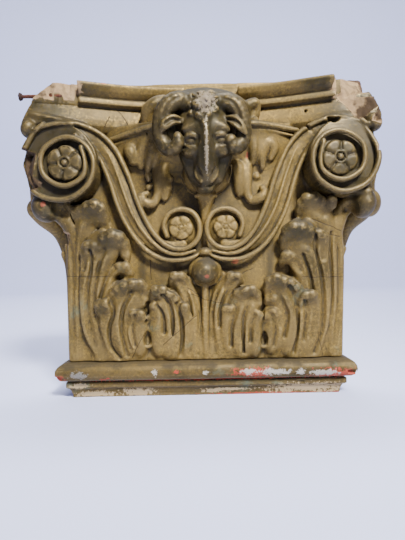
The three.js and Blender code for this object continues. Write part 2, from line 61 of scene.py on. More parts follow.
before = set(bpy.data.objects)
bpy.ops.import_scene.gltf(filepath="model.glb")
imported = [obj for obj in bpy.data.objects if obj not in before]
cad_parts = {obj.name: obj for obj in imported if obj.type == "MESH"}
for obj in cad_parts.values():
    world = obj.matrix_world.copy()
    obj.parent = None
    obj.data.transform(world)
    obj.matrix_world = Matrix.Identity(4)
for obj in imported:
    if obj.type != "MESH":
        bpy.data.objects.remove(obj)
CAD_LOW, CAD_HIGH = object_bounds()

BACK = round(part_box("capital")[1].y * 1000, 2)     # where the flat back lies, in millimetres
MOULDING_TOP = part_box("base_moulding")[1].z * 1000
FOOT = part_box("capital")[0].z * 1000
NAIL_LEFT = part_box("nail")[0].x * 1000
NAIL_MIDDLE = (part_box("nail")[0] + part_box("nail")[1]) * 500
BOARD_LOW, BOARD_HIGH = (corner * 1000 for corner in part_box("back_board"))

FAR = 6.0       # distances beyond this don't matter
MARGIN = 3.0    # how far around a shape its distances are worked out
SMALL_PITCH = 0.9           # the widest lattice step for the moulding and the board
NAIL_PITCH = 0.3
BOARD_TRIANGLES = 30000
NAIL_TRIANGLES = 9000

VOLUTE = (121.5, 215.0)         # centres of the volutes, as (distance from the middle, height)
SMALL_VOLUTE = (20.6, 157.6)
ABACUS_STEP = 270.2             # where the abacus's upper moulding starts
MOULDING_HALF = 125.0           # the base moulding's foot, from which its outline is measured
MOULDING_DEPTH = 33.0
# Its outline as (out, height)
MOULDING_OUTLINE = [(-140, 0), (0.4, 0), (1.0, 0.6), (1.0, 3.2), (1.6, 4.4), (2.2, 6.6), (3.6, 8.8),
                    (5.2, 9.8), (6.0, 10.2), (6.2, 10.8), (6.2, 14.6), (5.8, 15.4), (4.2, 16.0), (4.0, 16.6),
                    (6.6, 16.9), (9.6, 17.7), (12.2, 19.6), (13.7, 22.2), (14.1, 25.2), (13.6, 28.2),
                    (12.0, 30.8), (9.6, 32.6), (6.6, 33.6), (3.0, 34.1), (-140, 34.3)]


# Modelling on a lattice

def soft_min(a, b, blend):
    """The nearer of two distances, rounded over where they meet."""
    if blend <= 0:
        return np.minimum(a, b)
    near = np.maximum(blend - np.abs(a - b), 0) / blend
    return np.minimum(a, b) - near * near * blend * 0.25


def soft_max(a, b, blend):
    """The farther of two distances, rounded over where they meet."""
    return -soft_min(-a, -b, blend)


def smooth_step(low, high, value):
    """0 below low and 1 above high, with a smooth rise between."""
    t = np.clip((value - low) / (high - low), 0, 1)
    return t * t * (3 - 2 * t)


def curve(rows, gap=2.0):
    """Points about gap apart on a smooth curve through rows of (across, depth, height, radius)."""
    rows = np.array(rows, float)
    ends = np.vstack([2 * rows[0] - rows[1], rows, 2 * rows[-1] - rows[-2]])
    made = []
    for a, b, c, d in zip(ends[:-3], ends[1:-2], ends[2:-1], ends[3:]):
        count = max(int(np.linalg.norm((c - b)[:3]) / gap), 1)
        t = np.linspace(0, 1, count, endpoint=False)[:, None]
        cubic = 2 * b + (c - a) * t + (2 * a - 5 * b + 4 * c - d) * t**2 + (3 * b - a - 3 * c + d) * t**3
        made.append(0.5 * cubic)
    made.append(rows[-1:])
    return np.vstack(made)


def mirrored(rows, side, middle=0.0):
    """Rows of (distance from the middle, ...) on one side: -1 for the left and 1 for the right."""
    return [(middle + side * row[0], *row[1:]) for row in rows]


def shifted(rows, deeper=0.0, grow=1.0):
    """Rows moved forward by deeper, with their radius grown."""
    return [(x, h + deeper, z, grow * r) for x, h, z, r in rows]


def grain_noise(x, h, z, scale, seed):
    """Smooth noise between -1 and 1 whose lumps are about scale across."""
    table = np.random.default_rng(seed).uniform(-1, 1, (32, 32, 32)).astype(np.float32)
    parts = []
    for value in (x, h, z):
        place = np.asarray(value, np.float32) / scale + 400.0
        whole = np.floor(place)
        share = place - whole
        parts.append((whole.astype(int) % 32, share * share * (3 - 2 * share)))
    (i, ti), (j, tj), (k, tk) = parts
    total = 0.0
    for di, wi in ((0, 1 - ti), (1, ti)):
        for dj, wj in ((0, 1 - tj), (1, tj)):
            for dk, wk in ((0, 1 - tk), (1, tk)):
                total = total + table[(i + di) % 32, (j + dj) % 32, (k + dk) % 32] * wi * wj * wk
    return total


class Clay:
    """A block of clay, held on a lattice as the distance to its surface: below zero inside."""

    def __init__(self, low, high, pitch):
        self.pitch = pitch
        self.low = np.array(low, float)
        counts = np.ceil((np.array(high, float) - self.low) / pitch).astype(int) + 1
        self.axes = [(self.low[i] + pitch * np.arange(counts[i])).astype(np.float32) for i in range(3)]
        self.field = np.full(counts, FAR, np.float32)

    def window(self, low, high):
        """The part of the lattice between two corners, as slices."""
        spans = []
        for axis, a, b in zip(self.axes, low, high):
            start = min(max(int((a - axis[0]) / self.pitch), 0), len(axis))
            stop = min(max(int((b - axis[0]) / self.pitch) + 2, start), len(axis))
            spans.append(slice(start, stop))
        return tuple(spans)

    def lattice(self, spans):
        """The coordinates (x, h, z) of a part of the lattice."""
        x, h, z = (axis[span] for axis, span in zip(self.axes, spans))
        return x[:, None, None], h[None, :, None], z[None, None, :]

    def merge(self, spans, near, blend, carve):
        """Joins a shape's distances to the clay, or carves them out."""
        if near.size == 0:
            return
        if carve:
            self.field[spans] = soft_max(self.field[spans], -near, blend)
        else:
            self.field[spans] = soft_min(self.field[spans], near, blend)

    def shape(self, low, high, distance, blend=0.0, carve=False):
        """Adds or cuts a shape given by a function of (x, h, z), within a box."""
        spans = self.window(np.array(low) - MARGIN, np.array(high) + MARGIN)
        near = np.minimum(distance(*self.lattice(spans)), FAR).astype(np.float32)
        self.merge(spans, near, blend, carve)

    def strand(self, rows, blend=1.2, flat=1.0, carve=False, ripple=0.0, period=4.0):
        """A round strand through rows of (across, depth, height, radius); flat is depth over width."""
        path = curve(rows, 1.0 if ripple else 2.0)
        if ripple:
            path[:, 3] += ripple * np.sin(np.arange(len(path)) * 2 * math.pi / period)
        reach = np.array([1.0, max(flat, 0.3), 1.0])
        widest = path[:, 3].max() * reach + MARGIN
        spans = self.window(path[:, :3].min(0) - widest, path[:, :3].max(0) + widest)
        best = np.full([span.stop - span.start for span in spans], FAR, np.float32)
        for a, b in zip(path[:-1], path[1:]):
            room = max(a[3], b[3]) * reach + MARGIN
            near = self.window(np.minimum(a, b)[:3] - room, np.maximum(a, b)[:3] + room)
            local = tuple(slice(n.start - s.start, n.stop - s.start) for n, s in zip(near, spans))
            if best[local].size == 0:
                continue
            x, h, z = self.lattice(near)
            dx, dh, dz = x - a[0], (h - a[1]) / flat, z - a[2]
            bx, bh, bz = b[0] - a[0], (b[1] - a[1]) / flat, b[2] - a[2]
            length = max(bx * bx + bh * bh + bz * bz, 1e-9)
            t = np.clip((dx * bx + dh * bh + dz * bz) / length, 0, 1)
            gone = np.sqrt((dx - t * bx) ** 2 + (dh - t * bh) ** 2 + (dz - t * bz) ** 2)
            np.minimum(best[local], gone - (a[3] + t * (b[3] - a[3])), out=best[local])
        self.merge(spans, best, blend, carve)

    def lump(self, centre, sizes, blend=1.2, turn=0.0, carve=False):
        """An egg-shaped lump with half sizes (across, depth, height), turned about the forward axis."""
        sizes = np.array(sizes, float)
        reach = np.array([max(sizes[0], sizes[2]), sizes[1], max(sizes[0], sizes[2])])
        c, s = math.cos(turn), math.sin(turn)

        def distance(x, h, z):
            dx, dh, dz = x - centre[0], h - centre[1], z - centre[2]
            u, v = dx * c + dz * s, dz * c - dx * s
            outer = np.sqrt((u / sizes[0]) ** 2 + (dh / sizes[1]) ** 2 + (v / sizes[2]) ** 2)
            inner = np.sqrt((u / sizes[0]**2) ** 2 + (dh / sizes[1]**2) ** 2 + (v / sizes[2]**2) ** 2)
            return outer * (outer - 1) / np.maximum(inner, 1e-6)

        self.shape(np.array(centre) - reach, np.array(centre) + reach, distance, blend, carve)

    def ring(self, centre, radius, thickness, blend=0.8, carve=False):
        """A ring around the forward axis."""
        reach = np.array([radius + thickness, thickness, radius + thickness])

        def distance(x, h, z):
            out = np.sqrt((x - centre[0]) ** 2 + (z - centre[2]) ** 2) - radius
            return np.sqrt(out ** 2 + (h - centre[1]) ** 2) - thickness

        self.shape(np.array(centre) - reach, np.array(centre) + reach, distance, blend, carve)

    def mesh(self, name, triangles):
        """The surface as a mesh in metres, thinned to the given number of triangles."""
        grid = openvdb.FloatGrid(FAR)
        grid.copyFromArray(self.field)
        points, _, quads = grid.convertToPolygons(isovalue=0.0, adaptivity=0.0)
        points, quads = main_body(points, quads.astype(np.int64))
        spots = points.astype(float) * self.pitch + self.low
        placed = np.stack([spots[:, 0], BACK - spots[:, 1], spots[:, 2]], axis=1) / 1000
        mesh = bpy.data.meshes.new(name)
        mesh.vertices.add(len(placed))
        mesh.vertices.foreach_set("co", placed.astype(np.float32).ravel())
        mesh.loops.add(quads.size)
        mesh.loops.foreach_set("vertex_index", quads.astype(np.int32).ravel())
        mesh.polygons.add(len(quads))
        mesh.polygons.foreach_set("loop_start", np.arange(0, quads.size, 4, dtype=np.int32))
        mesh.update(calc_edges=True)
        piece = bpy.data.objects.new(name, mesh)
        bpy.context.scene.collection.objects.link(piece)
        if 2 * len(quads) > triangles:
            thin = piece.modifiers.new("Thin out", "DECIMATE")
            thin.ratio = triangles / (2 * len(quads))
            graph = bpy.context.evaluated_depsgraph_get()
            piece.data = bpy.data.meshes.new_from_object(piece.evaluated_get(graph))
            piece.modifiers.clear()
            bpy.data.meshes.remove(mesh)
        piece.data.name = name
        face_outwards(piece.data)
        piece.data.polygons.foreach_set("use_smooth", [True] * len(piece.data.polygons))
        return piece

    def hollowness(self, spots, reach):
        """How much clay surrounds each spot: 0.5 on a flat face, more in a hollow and less on a ridge."""
        full = np.clip(0.5 - self.field / self.pitch, 0, 1)
        half = max(int(reach / self.pitch), 1)
        for axis in range(3):
            for _ in range(2):
                total = np.cumsum(np.pad(full, [(half + 1, half) if i == axis else (0, 0) for i in range(3)],
                                         mode="edge"), axis=axis, dtype=np.float32)
                upper = np.take(total, np.arange(2 * half + 1, total.shape[axis]), axis=axis)
                lower = np.take(total, np.arange(0, total.shape[axis] - 2 * half - 1), axis=axis)
                full = (upper - lower) / (2 * half + 1)
        where = np.rint((spots - self.low) / self.pitch).astype(int)
        where = np.clip(where, 0, np.array(full.shape) - 1)
        return full[where[:, 0], where[:, 1], where[:, 2]]


def main_body(points, quads):
    """Keeps the largest connected surface, so that crumbs a cut leaves loose fall away."""
    labels = np.arange(len(points))
    while True:
        lowest = labels[quads].min(axis=1)
        spread = labels.copy()
        for corner in range(4):
            np.minimum.at(spread, quads[:, corner], lowest)
        spread = spread[spread]
        if np.array_equal(spread, labels):
            break
        labels = spread
    names, counts = np.unique(labels, return_counts=True)
    kept = labels == names[counts.argmax()]
    fresh = np.cumsum(kept) - 1
    return points[kept], fresh[quads[kept[quads[:, 0]]]]


def face_outwards(mesh):
    """Turns every face over if the closed mesh is inside out."""
    spots = np.zeros(len(mesh.vertices) * 3)
    mesh.vertices.foreach_get("co", spots)
    spots = spots.reshape(-1, 3)
    mesh.calc_loop_triangles()
    corners = np.zeros(len(mesh.loop_triangles) * 3, np.int32)
    mesh.loop_triangles.foreach_get("vertices", corners)
    a, b, c = (spots[corners.reshape(-1, 3)[:, i]] for i in range(3))
    if np.einsum("ij,ij->i", a, np.cross(b, c)).sum() < 0:
        mesh.flip_normals()


def spots_of(piece):
    """The piece's points in millimetres as (across, depth, height)."""
    spots = np.zeros(len(piece.data.vertices) * 3, np.float32)
    piece.data.vertices.foreach_get("co", spots)
    spots = spots.reshape(-1, 3) * 1000
    return np.stack([spots[:, 0], BACK - spots[:, 1], spots[:, 2]], axis=1)


def paint(piece, name, values):
    """Stores one number a point, for the materials to read."""
    layer = piece.data.attributes.new(name, "FLOAT", "POINT")
    layer.data.foreach_set("value", np.asarray(values, np.float32))


def block(centre, sizes, roll=0.0, yaw=0.0, rough=0.0, seed=0):
    """The distance to a block for cutting, turned about the forward and upright axes, with a torn face."""
    cr, sr, cy, sy = math.cos(roll), math.sin(roll), math.cos(yaw), math.sin(yaw)

    def distance(x, h, z):
        dx, dh, dz = x - centre[0], h - centre[1], z - centre[2]
        u, v = dx * cy - dh * sy, dh * cy + dx * sy
        u, w = u * cr + dz * sr, dz * cr - u * sr
        gone = np.maximum(np.maximum(np.abs(u) - sizes[0], np.abs(v) - sizes[1]), np.abs(w) - sizes[2])
        if rough:
            coarse, fine = grain_noise(x, h, z, 9.0, seed), grain_noise(x, h, z, 3.0, seed + 1)
            gone = gone + rough * coarse + 0.4 * rough * fine
        return gone

    return distance


# The capital's body

def bell_half_width(z):
    """Half the bell's width at a height: it widens a little, and more under the volutes."""
    rise = np.clip((z - MOULDING_TOP) / 115.6, 0, 1)
    return 126 + 5.5 * rise + 12 * smooth_step(150, 190, z)


def bell_front(x, z):
    """How far forward the bell's face lies: crowned, with a lip that leans out at the top."""
    crown = 2 * (1 - (x / 126) ** 2)
    lip = np.maximum(0, 1 - (x / 92) ** 2) * 22
    return 36 + crown + lip * smooth_step(196, 246, z) ** 1.5


def model_bell(clay):
    """The plain body behind the ornament, with the two cords under the abacus."""
    def distance(x, h, z):
        front = (h - bell_front(x, z)) * 0.94
        ends = np.abs(x) - bell_half_width(z)
        body = soft_max(front, ends, 2.0)
        return np.maximum(np.maximum(body, -h), np.maximum(FOOT - z, z - 252))

    clay.shape((-148, 0, FOOT), (148, 62, 252), distance)
    clay.strand([(-84, 42, 240, 2.4), (-62, 50, 244, 2.8), (-40, 56, 247, 3), (0, 58, 248, 3),
                 (40, 56, 248, 3), (62, 50, 248, 2.8), (88, 44, 245, 2.4)], 1.0)
    clay.strand([(-80, 42, 235.5, 1.3), (-62, 47, 239.5, 1.4), (-40, 51, 242, 1.4)], 0.8)
    clay.strand([(44, 53, 243, 1.4), (62, 48.5, 243.5, 1.5), (84, 43, 240.5, 1.3)], 0.8)


def abacus_face(x):
    """The abacus's concave front seen from above."""
    return 39 + 25 * (x / 120) ** 2


def model_abacus(clay):
    """The concave slab on top; its upper moulding is lost at both corners and behind the head."""
    heights = [243, 248, 252, 258, 265, 269.5, 270.5, 271, 275.6, 276.2, 277.2, 279, 282, 286, 288.6, 290]
    insets = [15, 12, 8.5, 8.2, 9.2, 10.5, 8, 4.6, 4.6, 6.6, 7.4, 5.2, 2.2, 0.4, 0.3, 2.5]

    def distance(x, h, z):
        inset = np.interp(z, heights, insets)
        plain = np.interp(z, [243, 252, 266, 270, 289], [15, 8.5, 9.5, 9.8, 10.5])
        gone = (x > 122) | (x < -110) | ((x > -15) & (x < 35))
        inset = np.where(gone & (z > ABACUS_STEP), np.where(x < -110, 9.8, np.maximum(plain, 13)), inset)
        front = (h - (soft_min(abacus_face(x), 68.0, 16.0) - inset)) * 0.8
        right = 160 - 0.55 * np.maximum(z - 262, 0)
        left = -160 + 0.45 * np.clip(z - 250, 0, 25) + 1.2 * np.maximum(z - 275, 0)
        ends = np.maximum(x - right, left - x)
        return np.maximum(np.maximum(soft_max(front, ends, 1.0), -h), np.maximum(247 - z, z - 289))

    clay.shape((-162, 0, 247), (162, 70, 289), distance, 1.0)
    clay.strand([(-150, 57, 259, 3), (-128, 55, 255, 2.6), (-106, 51, 252.5, 1.5)], 1.5)


def spiral(side, turns):
    """Rows around a corner volute's centre from (degrees, radius, depth, thickness); 0 degrees is up."""
    x, z = VOLUTE
    return [(side * x + side * r * math.sin(math.radians(a)), h, z + r * math.cos(math.radians(a)), t)
            for a, r, h, t in turns]


def model_rosette(clay, x, z, radius, depth, petals=5, start=0.0):
    """A flower whose broad petals fill the disc, around a boss in a collar."""
    def distance(px, h, pz):
        dx, dz = px - x, pz - z
        out = np.sqrt(dx * dx + dz * dz) / radius
        turn = np.arctan2(dx, dz) - start
        petal = np.abs(np.cos(turn * petals / 2)) ** 0.35
        swell = np.sqrt(np.clip(1 - ((out - 0.62) / 0.46) ** 2, 0, 1))
        height = depth + radius * (0.30 * swell * (0.35 + 0.65 * petal) - 0.22)
        edge = (out - (0.82 + 0.16 * petal)) * radius
        return soft_max(0.8 * edge, 0.8 * (h - height), 0.8) * 0.9

    clay.shape((x - radius, depth - 9, z - radius), (x + radius, depth + radius * 0.2, z + radius),
               lambda px, h, pz: np.maximum(distance(px, h, pz), depth - 8 - h), 0.6)
    for i in range(petals):
        turn = start + 2 * math.pi * i / petals
        c, s = math.cos(turn), math.sin(turn)
        hollow = (x + 0.68 * radius * s, depth + 0.2 * radius, z + 0.68 * radius * c)
        clay.lump(hollow, (0.2 * radius, 0.13 * radius, 0.2 * radius), 0.14 * radius, carve=True)
    clay.ring((x, depth - 0.02 * radius, z), 0.31 * radius, 0.075 * radius, 0.4)
    clay.lump((x, depth - 0.04 * radius, z), (0.2 * radius, 0.17 * radius, 0.2 * radius), 0.3)


def model_corner_volute(clay, side):
    """The drum of a front volute with its cord, which winds in to the rosette."""
    x, z = side * VOLUTE[0], VOLUTE[1]
    lift = 4 if side > 0 else 0
    around = [0, 45, 90, 135, 180, 225, 270, 315, 360]
    if side < 0:
        reaches = [36.5, 38, 38.5, 36.5, 33.5, 30.5, 28, 30, 36.5]
    else:
        reaches = [36, 34.5, 33, 32, 31.5, 29.5, 27, 29, 36]

    def distance(px, h, pz):
        out_x, out_z = (px - x) * side, pz - z
        turn = np.degrees(np.arctan2(out_x, out_z)) % 360
        reach = np.interp(turn, around, reaches)
        out = np.sqrt(out_x ** 2 + out_z ** 2)
        wall = out - reach + (h - 35) * 0.035
        return np.maximum(np.maximum(wall * 0.97, h - 56.5 - lift), 10 - h)

    clay.shape((x - 42, 8, z - 42), (x + 42, 62, z + 42), distance, 1.0)
    turns = [(-10, 36.2, 55), (20, reaches[0] + 0.2, 57.5), (45, reaches[1], 58.5),
             (90, reaches[2], 59.5 + lift), (135, reaches[3], 60 + lift), (180, reaches[4] - 1, 60.5 + lift),
             (225, reaches[5] - 1.5, 61 + lift), (270, reaches[6] - 1.8, 61 + lift), (315, 24, 61 + lift),
             (360, 22, 61 + lift), (420, 20.9, 61 + lift), (480, 20.6, 61 + lift), (540, 20.6, 61 + lift),
             (600, 20.6, 61 + lift), (670, 20.6, 61 + lift)]
    clay.strand(spiral(side, [(a, r, h, 2.5) for a, r, h in turns]), 1.0, 1.15)
    clay.ring((x, 59.5 + lift, z), 18.2, 1.5, 0.8, carve=True)
    clay.lump((x, 62 + lift, z), (17.6, 4.5, 17.6), 1.0, carve=True)
    model_rosette(clay, x, z, 16.3, 60.5 + 0.5 * lift, 5, math.radians(12 if side < 0 else 40))
    model_return_volute(clay, side)


def model_return_volute(clay, side):
    """The volute of the side face, whose disc is turned a little forward."""
    turn = math.radians(21)
    centre = np.array([side * 160.0, 22.0, VOLUTE[1] - 1])
    out = np.array([side * math.cos(turn), math.sin(turn), 0.0])
    along = np.array([-side * math.sin(turn), math.cos(turn), 0.0])

    def distance(x, h, z):
        dx, dh, dz = x - centre[0], h - centre[1], z - centre[2]
        forward = dx * out[0] + dh * out[1]
        flat = dx * along[0] + dh * along[1]
        around = np.sqrt(flat ** 2 + dz ** 2)
        return soft_max(around - 37.5 + 0.04 * np.abs(forward), np.abs(forward + 10) - 14, 1.5)

    clay.shape(centre - 44, centre + 44, distance, 1.5)

    def placed(rows):
        """Rows of (along the disc, out of it, up, radius) put in their place."""
        return [tuple(centre + out * f + along * a)[:2] + (centre[2] + up, r) for a, f, up, r in rows]

    outer = [(-math.sin(math.radians(a)) * r, 4.5, math.cos(math.radians(a)) * r, 2.4)
             for a, r in [(0, 35.5), (45, 35.5), (90, 35), (135, 34), (180, 32.5), (225, 30), (270, 27.5),
                          (315, 25), (360, 22.5), (420, 20.8), (480, 20.4), (540, 20.4), (600, 20.4),
                          (660, 20.4)]]
    clay.strand(placed(outer), 1.0)
    for i in range(5):
        angle = 2 * math.pi * i / 5
        c, s = math.cos(angle), math.sin(angle)
        clay.strand(placed([(6 * s, 4.5, 6 * c, 3.4), (11.5 * s, 4.5, 11.5 * c, 4.4)]), 0.5)
    clay.strand(placed([(0, 5, 0, 3.6), (0.1, 7, 0, 3.4)]), 0.4)

    def neck(x, h, z):
        reach = 163 - 0.28 * np.abs(z - 217)
        return np.maximum(np.maximum(side * x - reach, 118 - side * x),
                          np.maximum(np.abs(z - 217) - 29, h - 49))

    low = min(side * 116, side * 166)
    clay.shape((low, 10, 188), (low + 50, 50, 246), neck, 2.0)


def model_s_scroll(clay, side):
    """A band with a rib along each edge and one between, from the corner volute to the small one."""
    outer = mirrored([(128, 56, 251.5), (115, 54, 252), (100, 51, 247.5), (88, 49, 240), (78.5, 48, 229),
                      (71.5, 47.5, 215), (65.5, 47, 200), (60.5, 47, 184), (54, 47, 168), (46, 47, 153.5),
                      (36, 47, 142.5), (24, 47, 137.5), (12, 47, 140), (4.5, 47, 148.5), (3.4, 47, 160),
                      (9, 46.5, 170.5), (20, 46, 174.2), (31, 45.5, 170.5), (36.2, 45, 160.5),
                      (33.5, 44.5, 150)], side)
    low = mirrored([(117, 50, 244, 9), (103, 47, 241, 9.4), (91, 44.5, 231, 9.2), (81, 43.5, 216, 9),
                    (74.5, 43, 199, 8.8), (69.5, 43, 183, 8.8), (62.5, 43, 166.5, 8.6), (53, 43, 151.5, 8.2),
                    (42, 43, 142, 7), (30, 43, 140.5, 5), (19, 43, 142, 4)], side)
    clay.strand(low, 1.5, 0.42)
    clay.lump((side * SMALL_VOLUTE[0], 38, SMALL_VOLUTE[1]), (17.2, 6.5, 17.2), 1.0)
    clay.strand([(*p, 2.5) for p in outer], 0.8, 1.15)
    edge = mirrored([(112, 57, 240, 2.3), (103, 53, 233.5, 2.3), (95, 49, 224.5, 2.3), (88.8, 47.5, 212, 2.3),
                     (83.3, 47, 197, 2.3), (78.6, 46.8, 181, 2.3), (71.8, 46.5, 164, 2.3),
                     (62, 46.5, 148, 2.3), (50, 46.5, 135.5, 2.3), (35, 46.5, 128.3, 2.3),
                     (20, 46.5, 127.6, 2.2), (9, 46, 130.4, 1.9), (4, 44.5, 134, 1.3)], side)
    clay.strand(edge, 0.8, 1.15)
    middle = mirrored([(92, 47, 236, 1.0), (83.5, 46.3, 222, 1.8), (77.3, 46, 206.5, 2), (72, 46, 190.5, 2.1),
                       (66, 46, 174, 2.1), (57.8, 46, 158.5, 2.1), (47.6, 46, 145.5, 2.1),
                       (35.5, 46, 135.8, 2.1), (22, 46, 132.6, 1.9), (8, 46, 136, 1.4)], side)
    clay.strand(middle, 0.7, 1.15)
    model_rosette(clay, side * SMALL_VOLUTE[0], SMALL_VOLUTE[1], 11.6, 45.4, 5 if side < 0 else 6, 0.5)


def model_under_volute(clay, side):
    """The leaf curl that carries the corner volute."""
    if side < 0:
        clay.strand([(-117, 36, 140, 6), (-121, 38, 158, 8), (-130, 41, 172, 9), (-141, 45, 181, 9),
                     (-146, 48, 180, 9)], 2.5)
        clay.lump((-143.5, 46, 178), (12.5, 13, 13.5), 2.0, 0.15)
        clay.strand([(-128, 44, 181, 3), (-122, 47, 178, 4), (-117, 46, 168, 2)], 1.5)
        clay.lump((-128, 53, 173), (6.5, 7, 9), 3.0, 0.5, carve=True)
    else:
        clay.strand([(120, 36, 140, 6), (124, 37, 158, 8), (130, 38, 172, 8), (141, 44, 181, 8)], 2.5)
        clay.lump((146, 48, 176), (10.5, 14, 13.5), 2.0, -0.2)
        clay.lump((157, 36, 178), (9, 14, 13), 2.0)
        clay.strand([(128, 44, 186, 4), (137, 52, 188, 5), (146, 56, 184, 5.5)], 1.5)
        clay.lump((132, 56, 170), (7, 14, 8), 2.0, carve=True)
    clay.strand(mirrored([(134, 8, 132, 6), (140, 14, 158, 9), (152, 22, 174, 12), (158, 26, 180, 11)], side),
                3.0)
    clay.lump((side * 153.5, 55, 247), (7.2, 9, 8.2), 1.2, side * 0.5)
    clay.strand(mirrored([(151, 58, 243, 2.2), (145, 60, 245, 2.2), (140, 59, 250, 2)], side), 1.0)


# Broad undersides of the leaves: centre, half sizes and turn
BLADES = [
    ((-113, 37, 118), (9, 7, 58), 0.02), ((-98, 38, 110), (17.5, 9.5, 46), 0.05),
    ((-76, 38, 74), (21, 10, 36), 0.1), ((-31, 38, 68), (16, 9, 34), -0.05),
    ((-16, 38, 78), (9, 7.5, 38), -0.12), ((-61, 39, 60), (9, 7.5, 22), 0.0),
    ((-44, 39, 60), (8, 7.5, 22), 0.0), ((114, 37, 118), (10, 7, 58), -0.02),
    ((98, 38, 112), (17.5, 9.5, 48), -0.05), ((77, 38, 76), (21, 10, 36), -0.1),
    ((33, 38, 68), (16, 9, 34), 0.08), ((18, 38, 78), (9, 7.5, 38), 0.12), ((61, 39, 60), (9, 7.5, 22), 0.0),
    ((46, 39, 58), (8, 7.5, 22), 0.0),
]


def lip(clay, rows, fall=(0, 1), scooped=True):
    """A leaf edge that rolls over forwards, with the leaf hollowed below it; fall points down the leaf."""
    fx, fz = fall
    clay.strand([(x + fx * 0.6 * r, h - 0.8 * r, z - fz * 0.9 * r, r * 1.1) for x, h, z, r in rows], 3.0)
    clay.strand(shifted(rows, -0.5, 0.92), 1.8, 0.8, ripple=0.75, period=6.4)
    if scooped:
        under = [(x + fx * 1.7 * r, h + 3.6, z - fz * 2.3 * r, r * 0.7) for x, h, z, r in rows]
        clay.strand(under, 4.0, carve=True)


def fold(clay, rows):
    """A crease between two ribs of a leaf."""
    clay.strand(shifted(rows, 1.7, 1.6), 2.8, 1.0, carve=True)


